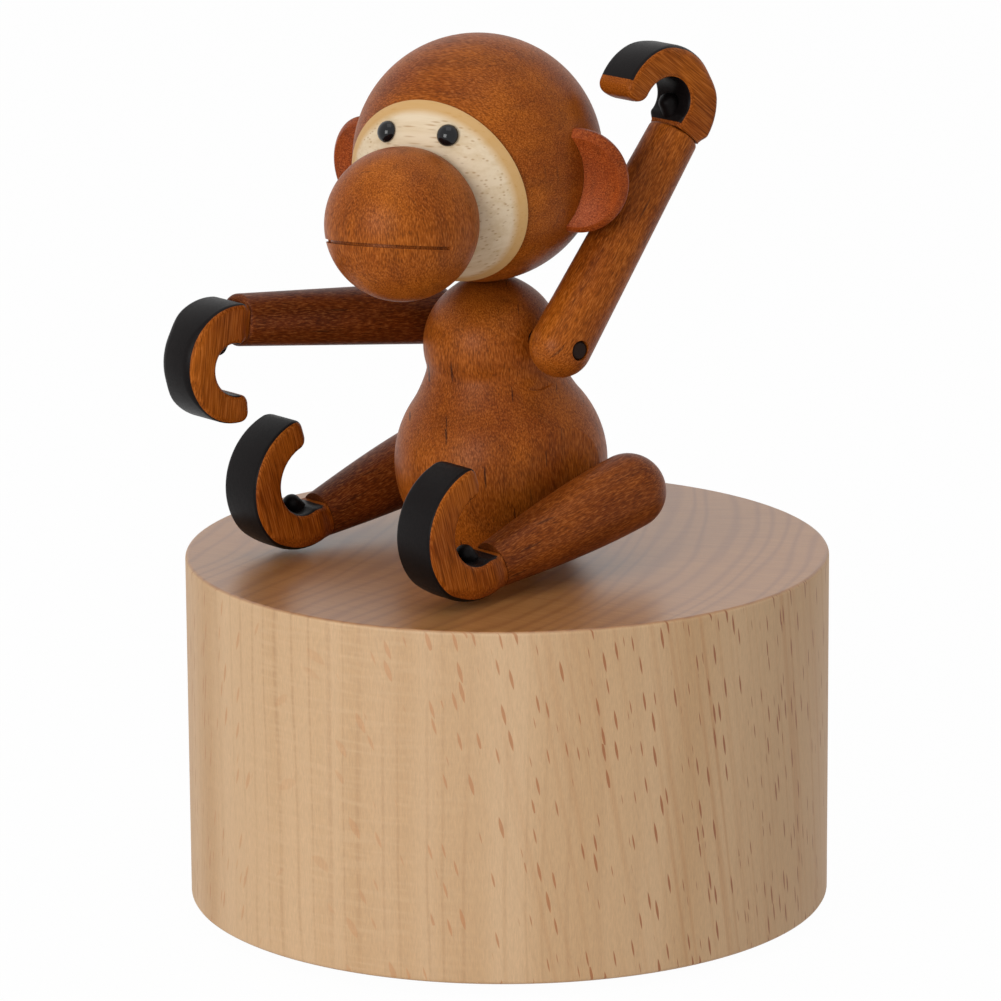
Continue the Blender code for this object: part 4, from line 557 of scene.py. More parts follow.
def pin_tree():
    """Geometry nodes that set small pins round the brass cylinder, so many on each comb tooth's track."""
    counts = ("Int", "Tracks", "Pins per Track", "Seed")
    sizes = ("Float", "First Track", "Pitch", "Radius", "Pin Width", "Pin Height")
    add, given = shape_tree("pinned for a tune", ("Geometry", "Cylinder"), counts, sizes)
    pins, tall = given["Pins per Track"], given["Pin Height"]
    count = add("Math MULTIPLY", (given["Tracks"], pins))
    row = add("MeshLine", {"Count": count}, "Mesh")
    number = add("InputIndex")
    track = row_of(add, number, pins)
    along = add("Math MULTIPLY_ADD", (track, given["Pitch"], given["First Track"]))
    order = add("Math MODULO", (number, pins))
    chance = add("RandomValue", {2: 0.0, 3: 0.6, 7: number, 8: given["Seed"]}, 1)
    order = add("Math ADD", (order, chance))
    step = add("Math DIVIDE", (TURN, pins))
    skew = add("Math MULTIPLY", (track, 2.4))
    angle = add("Math MULTIPLY_ADD", (order, step, skew))
    reach = add("Math MULTIPLY_ADD", (tall, 0.5, given["Radius"]))
    up = add("CombineXYZ", (along, 0.0, reach))
    spot = {"Vector": up, "Axis": (1.0, 0.0, 0.0), "Angle": angle}
    spot = add("VectorRotate", spot, rotation_type="AXIS_ANGLE")
    row = add("SetPosition", {"Geometry": row, "Position": spot})
    half = add("Math MULTIPLY", (given["Pin Width"], 0.5))
    pin = add("MeshCylinder", {"Vertices": 8, "Radius": half, "Depth": tall}, "Mesh")
    placed = {"Points": row, "Instance": pin, "Rotation": add("CombineXYZ", (angle,))}
    both = [add("InstanceOnPoints", placed), given["Cylinder"]]
    return closed(add, given, add("JoinGeometry", {"Geometry": both}))


def grown(obj, tree, **values):
    """The object's mesh after a geometry tree, with the tree's inputs set by name."""
    modifier = obj.modifiers.new("tree", "NODES")
    modifier.node_group = tree
    sockets = {item.name: item.identifier for item in tree.interface.items_tree if item.in_out == "INPUT"}
    for name, value in values.items():
        modifier[sockets[name.replace("_", " ")]] = value
    return settled(obj)


def settled(obj):
    """The object with its modifiers made part of a plain mesh."""
    graph = bpy.context.evaluated_depsgraph_get()
    graph.update()
    mesh = bpy.data.meshes.new_from_object(obj.evaluated_get(graph))
    finish = mesh.materials[-1] if mesh.materials else None
    mesh.materials.clear()
    mesh.materials.append(finish)
    mesh.polygons.foreach_set("material_index", [0] * len(mesh.polygons))
    obj.modifiers.clear()
    obj.data = mesh
    return obj


def in_scene(name, data):
    """A new object in the scene."""
    obj = bpy.data.objects.new(name, data)
    bpy.context.collection.objects.link(obj)
    return obj


def mesh_object(name, bm):
    """An object from a bmesh."""
    mesh = bpy.data.meshes.new(name)
    bm.to_mesh(mesh)
    bm.free()
    return in_scene(name, mesh)


def outward(obj, crease=32.0):
    """Merge doubles, point the faces out and shade smooth but for creases."""
    bm = bmesh.new()
    bm.from_mesh(obj.data)
    bmesh.ops.remove_doubles(bm, verts=bm.verts, dist=0.0005 * MM)
    bmesh.ops.recalc_face_normals(bm, faces=bm.faces)
    bm.to_mesh(obj.data)
    bm.free()
    obj.data.shade_smooth()
    obj.data.set_sharp_from_angle(angle=radians(crease))
    return obj


def turned(name, profile, finish, sides=96, frame_of=None):
    """A piece turned from a profile of (radius, height), solid or a ring, then put in its frame."""
    points = list(profile)
    if points[0][0] > 0.0:
        points.append(points[0])
    bm = bmesh.new()
    for radius, height in points:
        bm.verts.new((radius, 0.0, height))
    obj = grown(mesh_object(name, bm), LATHE, Rows=len(points), Sides=sides, Finish=finish)
    if frame_of is not None:
        obj.data.transform(frame_of)
    return outward(obj)


def sawn(obj, *cutters, operation="DIFFERENCE"):
    """Cut the piece with the others, or join them to it, and drop them."""
    for cutter in cutters:
        cutter.data.materials.clear()
        cutter.data.materials.append(obj.data.materials[0])
        modifier = obj.modifiers.new("cut", "BOOLEAN")
        modifier.operation = operation
        modifier.solver = "EXACT"
        modifier.object = cutter
    settled(obj)
    for cutter in cutters:
        bpy.data.objects.remove(cutter)
    return outward(obj)


def sliced(obj, point, normal):
    """Saw the piece off flat at a plane and drop what lies beyond it."""
    bm = bmesh.new()
    bm.from_mesh(obj.data)
    geometry = bm.verts[:] + bm.edges[:] + bm.faces[:]
    cut = bmesh.ops.bisect_plane(
        bm, geom=geometry, dist=1e-7, plane_co=point, plane_no=normal, clear_outer=True
    )
    rim = [item for item in cut["geom_cut"] if isinstance(item, bmesh.types.BMEdge)]
    bmesh.ops.holes_fill(bm, edges=rim)
    bm.to_mesh(obj.data)
    bm.free()
    return outward(obj)


def eased(obj, width, segments):
    """Round the piece's sharp edges, as sandpaper does."""
    modifier = obj.modifiers.new("edge", "BEVEL")
    modifier.width = width
    modifier.segments = segments
    modifier.limit_method = "ANGLE"
    modifier.angle_limit = radians(40.0)
    modifier.use_clamp_overlap = True
    return outward(settled(obj), 60.0)


def standing_in(obj, body, slot, *nodes, frame_of=None):
    """Let the piece, put in its frame, take the place of its solids on their body; the slot is not used."""
    if frame_of is not None:
        obj.data.transform(frame_of)
    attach(obj, body)
    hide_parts(*nodes)


def arc(radius, height, start, end, steps, centre=0.0):
    """Points of an upright ellipse's side between two latitudes in degrees."""
    angles = [radians(start + (end - start) * k / steps) for k in range(steps + 1)]
    points = [(max(radius * cos(a), 0.0), centre + height * sin(a)) for a in angles]
    if abs(end) == 90.0:
        points[-1] = (0.0, points[-1][1])
    if abs(start) == 90.0:
        points[0] = (0.0, points[0][1])
    return points


def rod(name, radius, low, high, sides=48, frame_of=None):
    """A plain cylinder about its frame's Z, to cut with."""
    return turned(name, [(0.0, low), (radius, low), (radius, high), (0.0, high)], None, sides, frame_of)


def limb_frame(joint, end):
    """A frame at one joint, with +Z to the next and +X to the figure's left."""
    start, stop = Vector(JOINTS[joint]), Vector(JOINTS[end])
    along = (stop - start).normalized()
    left = Vector((1.0, 0.0, 0.0))
    matrix = Matrix((left, along.cross(left), along)).transposed().to_4x4()
    matrix.translation = start
    return matrix


def supported(points, margin=0.08 * MM):
    """The profile with a point close to each end of its long straights, so that flats shade flat."""
    held = [points[0]]
    for start, end in zip(points, points[1:]):
        length = dist(start, end)
        if length > 8.0 * margin:
            for share in (margin / length, 1.0 - margin / length):
                held.append(tuple(a + share * (b - a) for a, b in zip(start, end)))
        held.append(end)
    return held


def rounded(corners, steps=4):
    """A profile from corners of (radius, height, rounding), a ring's taken all the way round."""
    open_ended = () if corners[0][0] > 0.0 else (0, len(corners) - 1)
    points = []
    for k, (radius, height, rounding) in enumerate(corners):
        if rounding == 0.0 or k in open_ended:
            points.append((radius, height))
            continue
        corner = Vector((radius, height))
        back = (Vector(corners[k - 1][:2]) - corner).normalized()
        on = (Vector(corners[(k + 1) % len(corners)][:2]) - corner).normalized()
        half = 0.5 * back.angle(on)
        centre = corner + rounding / sin(half) * (back + on).normalized()
        start = corner + rounding / tan(half) * back - centre
        end = corner + rounding / tan(half) * on - centre
        for step in range(steps + 1):
            way = start.lerp(end, step / steps).normalized()
            points.append(tuple(centre + rounding * way))
    return points


def plug(name, radius, low, high, easing, finish, sides, frame_of=None, bore=0.0, top_easing=None):
    """A disc, peg or collar, turned with its outer edges eased."""
    top_easing = easing if top_easing is None else top_easing
    corners = [(bore, low, 0.0), (radius, low, easing), (radius, high, top_easing), (bore, high, 0.0)]
    return turned(name, supported(rounded(corners)), finish, sides, frame_of)


def pilot(screw, low=None, high=None):
    """A drill for a screw, from one height to a little past the screw's other end."""
    least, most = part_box(screw)
    place = Matrix.Translation((0.5 * (least.x + most.x), 0.5 * (least.y + most.y), 0.0))
    low = least.z - PILOT_SPARE if low is None else low
    high = most.z + PILOT_SPARE if high is None else high
    return rod("pilot", PILOT_RADIUS, low, high, 24, place)


def screws(body, node, count, kind, down):
    """Slotted cheese-head screws of one kind in the places of their solids, as one piece."""
    shank, head, head_height = kind
    nodes = [f"{node}_{number + 1}" for number in range(count)]
    bm = bmesh.new()
    for solid in nodes:
        low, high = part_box(solid)
        middle = 0.5 * (low + high)
        bm.verts.new((middle.x, middle.y, high.z if down else low.z))
    obj = grown(
        mesh_object(f"{node}s", bm), SCREWS, Length=high.z - low.z, Shank=shank, Head=head,
        Head_Height=head_height, Flip=0.0 if down else pi, Seed=3, Finish=BLUED_STEEL,
    )  # fmt: skip
    standing_in(outward(obj), body, "spring_steel", *nodes)


def make_drum():
    """The drum, turned from one block with its end grain on top, and the brass bush in its roof."""
    corners = [
        (BUSH_HOLE, DRUM_TOP, 0.0),
        (DRUM_RADIUS, DRUM_TOP, DRUM_EDGE),
        (DRUM_RADIUS, DRUM_LOW, DRUM_EDGE),
        (MOUTH_RADIUS, DRUM_LOW, 0.2 * MM),
        (MOUTH_RADIUS, LEDGE, 0.3 * MM),
        (CAVITY_RADIUS, LEDGE, 0.2 * MM),
        (CAVITY_RADIUS, CEILING, 2.0 * MM),
        (BUSH_HOLE, CEILING, 0.0),
    ]
    drum = turned("drum", supported(rounded(corners)), RAW_BEECH, 192)
    pilots = [pilot(f"board_screw_{number}", low=LEDGE - MM) for number in (1, 2, 3)]
    standing_in(sawn(drum, *pilots), "case", "raw_beech", "drum_shell")
    low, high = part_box("top_bush")
    corners = [
        (SPINDLE_BORE, low.z, 0.1 * MM),
        (high.x, low.z, 0.2 * MM),
        (high.x, low.z + BUSH_FLANGE, 0.1 * MM),
        (BUSH_RADIUS, low.z + BUSH_FLANGE, 0.0),
        (BUSH_RADIUS, high.z, 0.15 * MM),
        (SPINDLE_BORE, high.z, 0.3 * MM),
    ]
    bush = turned("bush", supported(rounded(corners)), TURNED_BRASS, 72)
    standing_in(bush, "case", "brass", "top_bush")


def make_base():
    """The felt and the beech disc that the box stands on and is wound by."""
    size = (FELT_RADIUS, 0.0, FELT_THICKNESS, 0.35 * MM)
    pad = plug("felt", *size, PRESSED_FELT, 144, top_easing=0.25 * MM)
    standing_in(pad, "winding_base", "felt", "felt_pad")
    size = (DISC_RADIUS, DISC_LOW, DISC_TOP, 0.4 * MM)
    disc = plug("winding_disc_beech", *size, RAW_BEECH, 144)
    pilots = [pilot(f"hub_screw_{number}", high=DISC_TOP + MM) for number in (1, 2, 3)]
    standing_in(sawn(disc, *pilots), "winding_base", "raw_beech", "winding_disc")


def make_collar():
    """The brass collar that the figure stands on."""
    low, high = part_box("spindle_collar")
    collar = plug("collar", high.x, low.z, high.z, 0.15 * MM, TURNED_BRASS, 72, bore=SPINDLE_BORE)
    standing_in(collar, "figure", "brass", "spindle_collar")


def gourd_radius(height):
    """The torso's radius: two balls whose meeting is filled out to a waist."""
    belly = sqrt(max(BELLY_RADIUS**2 - (height - BELLY_RISE) ** 2, 0.0))
    chest = sqrt(max(CHEST_RADIUS**2 - (height - CHEST_RISE) ** 2, 0.0))
    near = max(WAIST_BLEND - abs(belly - chest), 0.0) / WAIST_BLEND
    return max(belly, chest) + 0.25 * near * near * WAIST_BLEND


def crosswise(y, z, mirror=1.0):
    """A frame in the torso's whose +Z runs to one of its sides."""
    return Matrix.Translation((0.0, y, z)) @ Matrix.Rotation(QUARTER * mirror, 4, "Y")


def make_torso():
    """The gourd-shaped torso with its flats and bores, the peg and the dowels in it."""
    low, high = BELLY_RISE - BELLY_RADIUS, CHEST_TOP
    steps = 90
    spread = [0.5 - 0.5 * cos(pi * k / steps) for k in range(steps + 1)]
    profile = [(gourd_radius(low + (high - low) * s), low + (high - low) * s) for s in spread]
    profile[0] = (0.0, low)
    profile.append((0.0, high))
    body = turned("torso_beech", profile, STAINED["torso"], 128)
    sliced(body, (0.0, 0.0, 0.0), Matrix.Rotation(-LEAN, 3, "X") @ -UP)
    cutters = []
    for side in (1.0, -1.0):
        shoulder, hip = crosswise(*SHOULDER_AT, side), crosswise(0.0, BELLY_RISE, side)
        cutters.append(rod("flat", 1.6 * ARM_SHOULDER, CHEST_FLAT, 20 * MM, 96, shoulder))
        cutters.append(rod("flat", 0.8 * BELLY_RADIUS, HIP_FLAT, 26 * MM, 96, hip))
    for place in (crosswise(*SHOULDER_AT), crosswise(*HIP_AT)):
        cutters.append(rod("bore", DOWEL_BORE, -15 * MM, 15 * MM, frame_of=place))
    cutters.append(rod("bore", NECK_BORE, CHEST_TOP - NECK_PEG_DOWN - NECK_GAP, CHEST_TOP + MM))
    level = Matrix.Rotation(-LEAN, 4, "X")
    cutters.append(rod("bore", SPINDLE_BORE, -MM, SPINDLE_DEPTH, frame_of=level))
    standing_in(sawn(body, *cutters), "figure", "stained_beech", "torso", frame_of=TORSO)
    size = (NECK_PEG, CHEST_TOP - NECK_PEG_DOWN, CHEST_TOP + NECK_PEG_UP, 0.4 * MM)
    peg = plug("neck_peg_beech", *size, STAINED["torso"], 48, TORSO)
    standing_in(peg, "figure", "stained_beech", "neck_peg")
    for word, place in (("shoulder", SHOULDER_AT), ("hip", HIP_AT)):
        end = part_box(f"{word}_dowel")[1].x
        size = (DOWEL, -end, end, 0.25 * MM)
        dowel = plug(f"{word}_peg", *size, DARK_PEG, 48, TORSO @ crosswise(*place))
        standing_in(dowel, "figure", "dark_stain", f"{word}_dowel")


def make_head():
    """The head's ball with its face cap, muzzle, eyes and ears."""
    look = FACE_TILT @ UP
    ball = arc(HEAD_RADIUS, HEAD_HALF_HEIGHT, -90.0, 90.0, 72)
    ball = turned("head_beech", ball, STAINED["head"], 144)
    sliced(ball, look * FACE_FLAT, look)
    sliced(ball, (0.0, 0.0, -HEAD_FOOT), (0.0, 0.0, -1.0))
    bore = rod("bore", NECK_BORE, -HEAD_FOOT - MM, NECK_PEG_UP - HEAD_FOOT)
    ball = eased(sawn(ball, bore), 0.12 * MM, 2)
    standing_in(ball, "head", "stained_beech", "head_ball", frame_of=HEAD)
    flat, tall = HEAD_RADIUS + FACE_PROUD, HEAD_HALF_HEIGHT + FACE_PROUD
    cap = turned("face_maple", arc(flat, tall, -90.0, 90.0, 72), FACE_MAPLE, 144)
    sliced(cap, look * (FACE_FLAT + FACE_GAP), -look)
    sliced(cap, look * MUZZLE_SEAT, look)
    cap = eased(cap, 0.18 * MM, 3)
    sockets = []
    for name, side in (("left_eye", 1.0), ("right_eye", -1.0)):
        aim = Matrix.Rotation(side * EYE_SIDE, 4, "Z") @ Matrix.Rotation(QUARTER - EYE_RISE, 4, "X")
        way = aim @ UP
        surface = 1.0 / sqrt((way.x**2 + way.y**2) / flat**2 + way.z**2 / tall**2)
        place = Matrix.Translation(way * (surface + 0.06 * MM)) @ aim
        shank = [(0.0, -EYE_SHANK_LENGTH), (EYE_SHANK, -EYE_SHANK_LENGTH), (EYE_SHANK, 0.0)]
        dome = arc(EYE_RADIUS, 0.82 * EYE_RADIUS, 8.0, 90.0, 14)
        bead = supported([*shank, (0.93 * EYE_RADIUS, 0.0), *dome])
        bead = turned(f"{name}_bead", bead, BLACK_BEAD, 64, HEAD @ place)
        standing_in(bead, "head", "black_bead", name)
        size = (EYE_SHANK + 0.15 * MM, -EYE_SHANK_LENGTH - 0.25 * MM, MM)
        sockets.append(rod("socket", *size, frame_of=place))
    standing_in(sawn(cap, *sockets), "head", "pale_maple", "face_plate", frame_of=HEAD)
    make_muzzle()
    make_ears()


def make_muzzle():
    """The muzzle: a turned dome with a sawn mouth."""
    seat = MUZZLE_SEAT + 0.1 * MM
    start = degrees(asin((seat - MUZZLE_CENTRE) / MUZZLE_RADIUS))
    dome = arc(MUZZLE_RADIUS, MUZZLE_RADIUS, start, 90.0, 64)
    rim = dome[0]
    profile = supported([(0.0, rim[1]), (rim[0] - 0.12 * MM, rim[1])]) + dome
    body = turned("muzzle_beech", profile, STAINED["muzzle"], 144)
    body.data.transform(FACE_TILT @ Matrix.Translation((0.0, 0.0, MUZZLE_CENTRE)))
    half = 0.5 * MOUTH_WIDTH
    inner, outer = MUZZLE_RADIUS - MOUTH_DEPTH, MUZZLE_RADIUS + MM
    kerf = turned("kerf", [(inner, -half), (outer, -half), (outer, half), (inner, half)], None, 144)
    sliced(kerf, (0.0, -MOUTH_BACK, 0.0), (0.0, 1.0, 0.0))
    centre = FACE_TILT @ Vector((0.0, 0.0, MUZZLE_CENTRE)) - Vector((0.0, 0.0, MOUTH_DROP))
    kerf.data.transform(Matrix.Translation(centre) @ Matrix.Rotation(MOUTH_TILT, 4, "X"))
    standing_in(sawn(body, kerf), "head", "stained_beech", "muzzle", frame_of=HEAD)


def make_ears():
    """Two turned button ears with dished fronts, coped to the ball's sides."""
    inner = EAR_RADIUS - EAR_RIM
    dish = [(inner * k / 10, -EAR_DISH * (1.0 - (k / 10) ** 2.4)) for k in range(11)]
    rim = [
        (inner + EAR_RIM * sin(a) ** 1.6, -EAR_RIM * (1.0 - max(0.0, cos(a)) ** 1.6))
        for a in (radians(90.0 * k / 10) for k in range(1, 11))
    ]
    back = [
        (EAR_RADIUS * cos(a), -EAR_RIM - EAR_DEPTH * sin(a))
        for a in (radians(90.0 * k / 24) for k in range(1, 25))
    ]
    back[-1] = (0.0, back[-1][1])
    for name, side in (("left_ear", 1.0), ("right_ear", -1.0)):
        ear = turned(f"{name}_beech", dish + rim + back, STAINED[name], 128)
        ear.data.transform(ear_frame(side))
        ball = turned("ball", arc(HEAD_RADIUS + 0.05 * MM, HEAD_HALF_HEIGHT, -90, 90, 72), None, 144)
        standing_in(sawn(ear, ball), "head", "stained_beech", name, frame_of=HEAD)


def ear_frame(side):
    """An ear's frame on the head, with +Z out of its dished front."""
    aim = Matrix.Rotation(side * EAR_OUTWARD, 4, "Z") @ UPRIGHT
    return Matrix.Translation((side * EAR_OFFSET, EAR_BACK - 0.5 * EAR_DEPTH, -EAR_DROP)) @ aim


def make_arm(name):
    """An arm: a rounded shoulder drilled for the dowel, a slight taper and a tenon."""
    shoulder = reversed(arc(ARM_SHOULDER, ARM_SHOULDER, 0.0, 90.0, 20))
    corners = [
        (0.0, 0.0, 0.0),
        (ARM_SHOULDER, 0.0, 0.0),
        (ARM_WRIST, ARM_LENGTH, 0.5 * MM),
        (TENON, ARM_LENGTH, 0.0),
        (TENON, ARM_LENGTH + TENON_LENGTH, 0.2 * MM),
        (0.0, ARM_LENGTH + TENON_LENGTH, 0.0),
    ]
    profile = [(radius, -height) for radius, height in shoulder] + rounded(corners)[2:]
    arm = turned(f"{name}_beech", supported(profile), STAINED[name], 96)
    arm = sawn(arm, rod("bore", DOWEL_BORE, -6 * MM, 6 * MM, frame_of=ACROSS))
    standing_in(arm, name, "stained_beech", name, frame_of=LIMBS[name])


def make_leg(name, side):
    """A leg: a club that swells behind the hip, with a tenon at the ankle."""
    hip = reversed(arc(LEG_HIP, LEG_HIP, 0.0, 90.0, 20))
    profile = [(radius, -LEG_HEEL_OF_HIP - height) for radius, height in hip]
    steps = 28
    for k in range(1, steps + 1):
        height = (LEG_LENGTH + LEG_HEEL_OF_HIP) * k / steps - LEG_HEEL_OF_HIP
        swell = cos(QUARTER * k / steps)
        profile.append((LEG_ANKLE + (LEG_HIP - LEG_ANKLE) * swell, height))
    end, ease = LEG_LENGTH + TENON_LENGTH, 0.2 * MM
    profile += [(TENON, LEG_LENGTH), (TENON, end - ease), (TENON - ease, end), (0.0, end)]
    leg = turned(f"{name}_beech", supported(profile), STAINED[name], 96)
    turn = Matrix.Rotation(QUARTER * side, 4, "Y")
    leg = sawn(leg, rod("bore", DOWEL_BORE, -7 * MM, LEG_BORE_DEPTH, frame_of=turn))
    standing_in(leg, name, "stained_beech", name, frame_of=LIMBS[name])


def section(middle, way, depth, width, inner, outer):
    """Points round a mitten's sawn section, a rectangle with rounded corners."""
    points = []
    for side, end in ((1.0, 1.0), (-1.0, 1.0), (-1.0, -1.0), (1.0, -1.0)):
        corner = outer if side > 0.0 else inner
        for k in range(CORNER_STEPS + 1):
            angle = QUARTER * k / CORNER_STEPS
            if side * end < 0.0:
                angle = QUARTER - angle
            along = depth - corner + corner * cos(angle)
            across = width - corner + corner * sin(angle)
            points.append(middle + side * along * way + Vector((end * across, 0.0, 0.0)))
    return points


def eased_step(share):
    """A share from 0 to 1 that starts and ends softly."""
    return share * share * (3.0 - 2.0 * share)


def make_mitten(name, curl, shape, clear, limb, length):
    """A curled mitten with a thumb at a limb's end, closed to one side of its frame's Y."""
    straight, start, end, sweep, root, thickness, half_width, tip = shape
    place = limb @ Matrix.Translation((0.0, 0.0, length))
    finish = dipped_beech(f"dipped_beech_{name}", place @ UPRIGHT)

    def outer(angle):
        """The rounding of the outer edges at an angle on the curl."""
        near = 1.0 - (abs(angle - clear[0]) - CLEAR_FULL) / (CLEAR_ENDS - CLEAR_FULL)
        return MITTEN_CORNER + (clear[1] - MITTEN_CORNER) * eased_step(min(1.0, max(0.0, near)))

    foot = 0.1 * MM
    rings = []
    for k in range(ROOT_STEPS):
        share = k / ROOT_STEPS
        middle = Vector((0.0, 0.0, foot + (straight - foot) * share))
        way = Vector((0.0, -curl, 0.0))
        squared = section(middle, way, thickness, half_width, MITTEN_CORNER, outer(0.0))
        turned_end = [middle + root * (point - middle).normalized() for point in squared]
        rings.append([a.lerp(b, eased_step(share)) for a, b in zip(turned_end, squared)])
    for k in range(CURL_STEPS + 1):
        share = k / CURL_STEPS
        angle = sweep * share
        way = Vector((0.0, -curl * cos(angle), sin(angle)))
        middle = Vector((0.0, curl * start, straight)) + (start + (end - start) * share) * way
        depth = thickness + (tip - thickness) * share
        width = half_width + 0.15 * (tip - half_width) * share
        rings.append(section(middle, way, depth, width, MITTEN_CORNER, outer(angle)))
    ahead = Vector((0.0, curl * sin(sweep), cos(sweep)))
    for k in range(1, TIP_STEPS + 1):
        push, shrink = 0.9 * tip * sin(TIP_STEP * k), cos(TIP_STEP * k) ** 0.6
        corner = min(MITTEN_CORNER, 0.9 * depth * shrink)
        narrow = width * shrink**0.5
        rings.append(section(middle + push * ahead, way, depth * shrink, narrow, corner, corner))
    bm = bmesh.new()
    loops = [[bm.verts.new(point) for point in points] for points in rings]
    for here, there in zip(loops, loops[1:]):
        for k in range(len(here)):
            bm.faces.new((here[k - 1], here[k], there[k], there[k - 1]))
    bm.faces.new(loops[0])
    bm.faces.new(loops[-1])
    mitten = mesh_object(f"{name}_mitten", bm)
    mitten.data.materials.append(finish)
    outward(mitten)
    nub = [(0.0, -MM), (THUMB_RADIUS, -MM)]
    dome = arc(THUMB_RADIUS, THUMB_RADIUS, 0.0, 90.0, 12, THUMB_LENGTH - THUMB_RADIUS)
    lean = Matrix.Rotation(-curl * THUMB_LEAN, 4, "X")
    at = Matrix.Translation((0.0, curl * 0.75 * thickness, straight + 0.4 * MM))
    thumb = turned("thumb", nub + dome, finish, 40, at @ lean)
    mitten = sawn(mitten, thumb, operation="UNION")
    mitten = sawn(mitten, rod("bore", TENON + 0.15 * MM, -MM, TENON_LENGTH + 0.25 * MM))
    dipped = mitten.data.attributes.new("dipped", "FLOAT", "FACE")
    for face in mitten.data.polygons:
        curved = abs(face.normal.x) < 0.6 or abs(face.center.x) < 0.5 * half_width
        dipped.data[face.index].value = float(curved and face.center.z > 0.6 * MM)
    standing_in(mitten, name, "stained_beech", name, frame_of=place)


def make_movement():
    """The parts of the movement that the solids give plain: screws, and the pins of the tune."""
    screws("case", "board_screw", 3, WOOD_KIND, down=False)
    screws("case", "movement_screw", 3, SMALL_KIND, down=False)
    screws("winding_base", "hub_screw", 3, WOOD_KIND, down=True)
    screws("case", "bridge_screw", 2, SMALL_KIND, down=True)
    screws("case", "comb_screw", 3, SMALL_KIND, down=True)
    screws("case", "governor_screw", 2, SMALL_KIND, down=True)
    low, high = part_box("pinned_cylinder")
    length = high.x - low.x
    size = (CYLINDER_RADIUS, 0.0, length, 0.15 * MM)
    cylinder = plug("tune_cylinder", *size, TURNED_BRASS, 72, ACROSS, CYLINDER_BORE)
    cylinder = grown(
        cylinder, PINS, Tracks=COMB_TEETH, Pins_per_Track=PINS_PER_TRACK, Seed=11, Pitch=COMB_PITCH,
        First_Track=0.5 * length - 0.5 * (COMB_TEETH - 1) * COMB_PITCH, Radius=CYLINDER_RADIUS,
        Pin_Width=PIN_WIDTH, Pin_Height=PIN_HEIGHT, Finish=TURNED_BRASS,
    )  # fmt: skip
    cylinder.data.transform(Matrix.Translation((low.x, 0.0, JOINTS["cylinder_spin"][2])))
    standing_in(outward(cylinder), "cylinder", "brass", "pinned_cylinder")


def refinish(material, *nodes):
    """Give solids that stay as they are the finish of the real ones."""
    for node in nodes:
        frame["nodes"][node].data.materials.clear()
        frame["nodes"][node].data.materials.append(material)


def make_studio():
    """White paper under a white room, plain soft lamps, and the camera."""
    bm = bmesh.new()
    bmesh.ops.create_grid(bm, x_segments=1, y_segments=1, size=PAPER_SIZE)
    floor = mesh_object("paper_floor", bm)
    floor.data.materials.append(studio_floor("white_paper"))
    world = bpy.data.worlds.new("white_room")
    bpy.context.scene.world = world
    world.use_nodes = True
    background = world.node_tree.nodes["Background"].inputs
    background["Color"].default_value = linear("FFFFFF")
    add = partial(add_node, world.node_tree)
    level = add("MapRange", {0: seen_plainly(add), 3: ROOM_LIGHT, 4: 1.0})
    world.node_tree.links.new(level, background["Strength"])
    for name, place, size, power in LAMPS:
        light = bpy.data.lights.new(name, "AREA")
        light.size = size
        light.energy = power
        lamp = in_scene(name, light)
        lamp.location = place
        lamp.rotation_euler = (LAMPS_AIM - Vector(place)).to_track_quat("-Z", "Y").to_euler()
    view = bpy.data.cameras.new("camera")
    view.sensor_width = CAMERA_SENSOR
    view.lens = CAMERA_LENS
    view.clip_start = CAMERA_NEAR
    camera = in_scene("camera", view)
    place = Matrix.Rotation(CAMERA_TURN, 4, "Z") @ Matrix.Translation(CAMERA_AT)
    tilt = Matrix.Rotation(QUARTER - CAMERA_PITCH, 4, "X") @ Matrix.Rotation(CAMERA_ROLL, 4, "Z")
    camera.matrix_world = place @ Matrix.Rotation(-CAMERA_YAW, 4, "Z") @ tilt
    bpy.context.scene.camera = camera
    bpy.context.scene.view_settings.view_transform = "Standard"


# Frames of the figure's parts
UPRIGHT = Matrix.Rotation(QUARTER, 4, "X")
ACROSS = Matrix.Rotation(QUARTER, 4, "Y")
TORSO = Matrix.Translation((0.0, 0.0, TORSO_FOOT)) @ Matrix.Rotation(LEAN, 4, "X")
HEAD_RISE = CHEST_TOP + NECK_GAP + HEAD_FOOT
HEAD = TORSO @ Matrix.Translation((0.0, 0.0, HEAD_RISE)) @ Matrix.Rotation(HEAD_TURN, 4, "Z")
FACE_TILT = Matrix.Rotation(QUARTER - FACE_PITCH, 4, "X")
LOOK = (HEAD @ FACE_TILT).to_3x3() @ UP
LIMBS = {
    f"{side}_{limb}": limb_frame(f"{side}_{joint}", f"{side}_{end}")
    for side in ("left", "right")
    for limb, joint, end in (("arm", "shoulder", "wrist"), ("leg", "hip", "ankle"))
}

LATHE = lathe_tree()
SCREWS = screw_tree()
PINS = pin_tree()

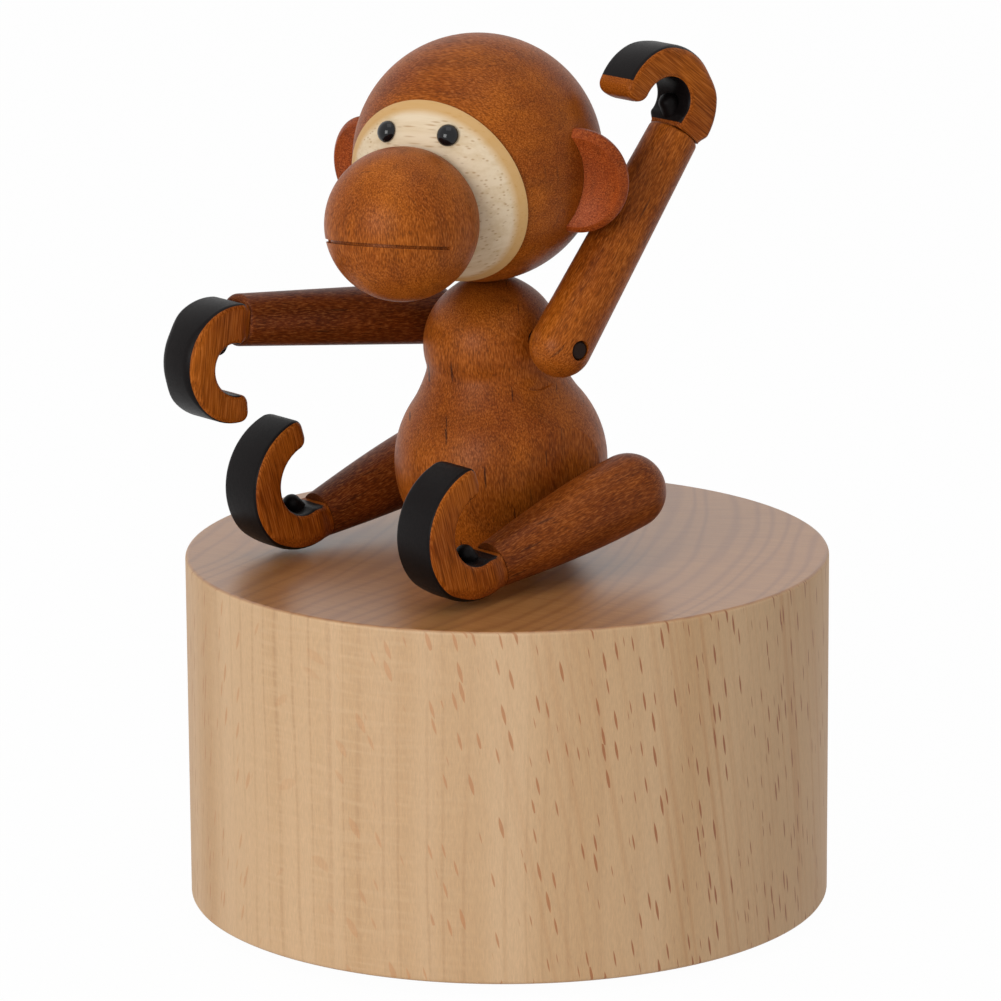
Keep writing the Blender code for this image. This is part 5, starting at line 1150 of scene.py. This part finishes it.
RAW_BEECH = raw_beech("raw_beech", TREE_HEART, DRUM_LOW, DRUM_TOP)
STAINED = {
    piece: stained_beech(f"stained_beech_{piece}", grain, strokes, stain)
    for piece, grain, strokes, stain in (
        ("torso", TORSO @ Matrix.Rotation(TORSO_GRAIN_TURN, 4, "Z"), 0.75, STAIN),
        ("head", HEAD @ ACROSS, 0.3, STAIN),
        ("muzzle", HEAD, 0.3, STAIN),
        ("left_ear", HEAD @ ear_frame(1.0), 0.3, RED_STAIN),
        ("right_ear", HEAD @ ear_frame(-1.0), 0.3, RED_STAIN),
        ("left_arm", LIMBS["left_arm"], 0.5, STAIN),
        ("right_arm", LIMBS["right_arm"], 0.5, DARKER_TONE),
        ("left_leg", LIMBS["left_leg"], 0.5, LEG_STAIN),
        ("right_leg", LIMBS["right_leg"], 0.4, DARKER_TONE),
    )
}
FACE_BACK = LOOK.dot(HEAD.translation) + FACE_FLAT + FACE_GAP
FACE_MAPLE = pale_maple("pale_maple", HEAD @ ACROSS, LOOK, FACE_BACK)
BLACK_BEAD = black_bead("black_glass_bead")
DARK_PEG = stained_peg_end("dark_birch_dowel")
PRESSED_FELT = pressed_felt("pressed_wool_felt")
BIRCH_PLY = birch_plywood("birch_plywood", BOARD_LOW, BOARD_PLY)
CAST_ZINC = worked_metal("die_cast_zinc", "A9ABAC", "7F8284", 0.48, (0.3, 0.3, 0.3), 0.35)
TURNED_BRASS = worked_metal("turned_brass", "C9A45B", "A98443", 0.28, (0.08, 1.2, 1.2), 0.15)
BLUED_STEEL = worked_metal("ground_spring_steel", "8C9096", "63676D", 0.3, (0.12, 1.6, 1.6), 0.15)
NYLON = moulded_nylon("moulded_nylon")

make_studio()
make_drum()
make_base()
make_collar()
make_torso()
make_head()
make_arm("left_arm")
make_arm("right_arm")
make_leg("left_leg", 1.0)
make_leg("right_leg", -1.0)
for side in ("left", "right"):
    make_mitten(f"{side}_hand", -1.0, HAND, HAND_CLEAR, LIMBS[f"{side}_arm"], ARM_LENGTH)
    make_mitten(f"{side}_foot", 1.0, FOOT, FOOT_CLEAR, LIMBS[f"{side}_leg"], LEG_LENGTH)
make_movement()
refinish(BIRCH_PLY, "movement_board")
refinish(CAST_ZINC, "bedplate", "motor_bridge", "governor_frame")
refinish(TURNED_BRASS, "winding_hub", "spring_barrel", "crown_wheel", "cylinder_pinion", "cylinder_gear")
refinish(
    BLUED_STEEL, "comb", "clutch_spring", "winding_arbor", "mainspring", "output_spindle", "cylinder_shaft",
    "governor_wheel",
)  # fmt: skip
refinish(NYLON, "fan_worm")
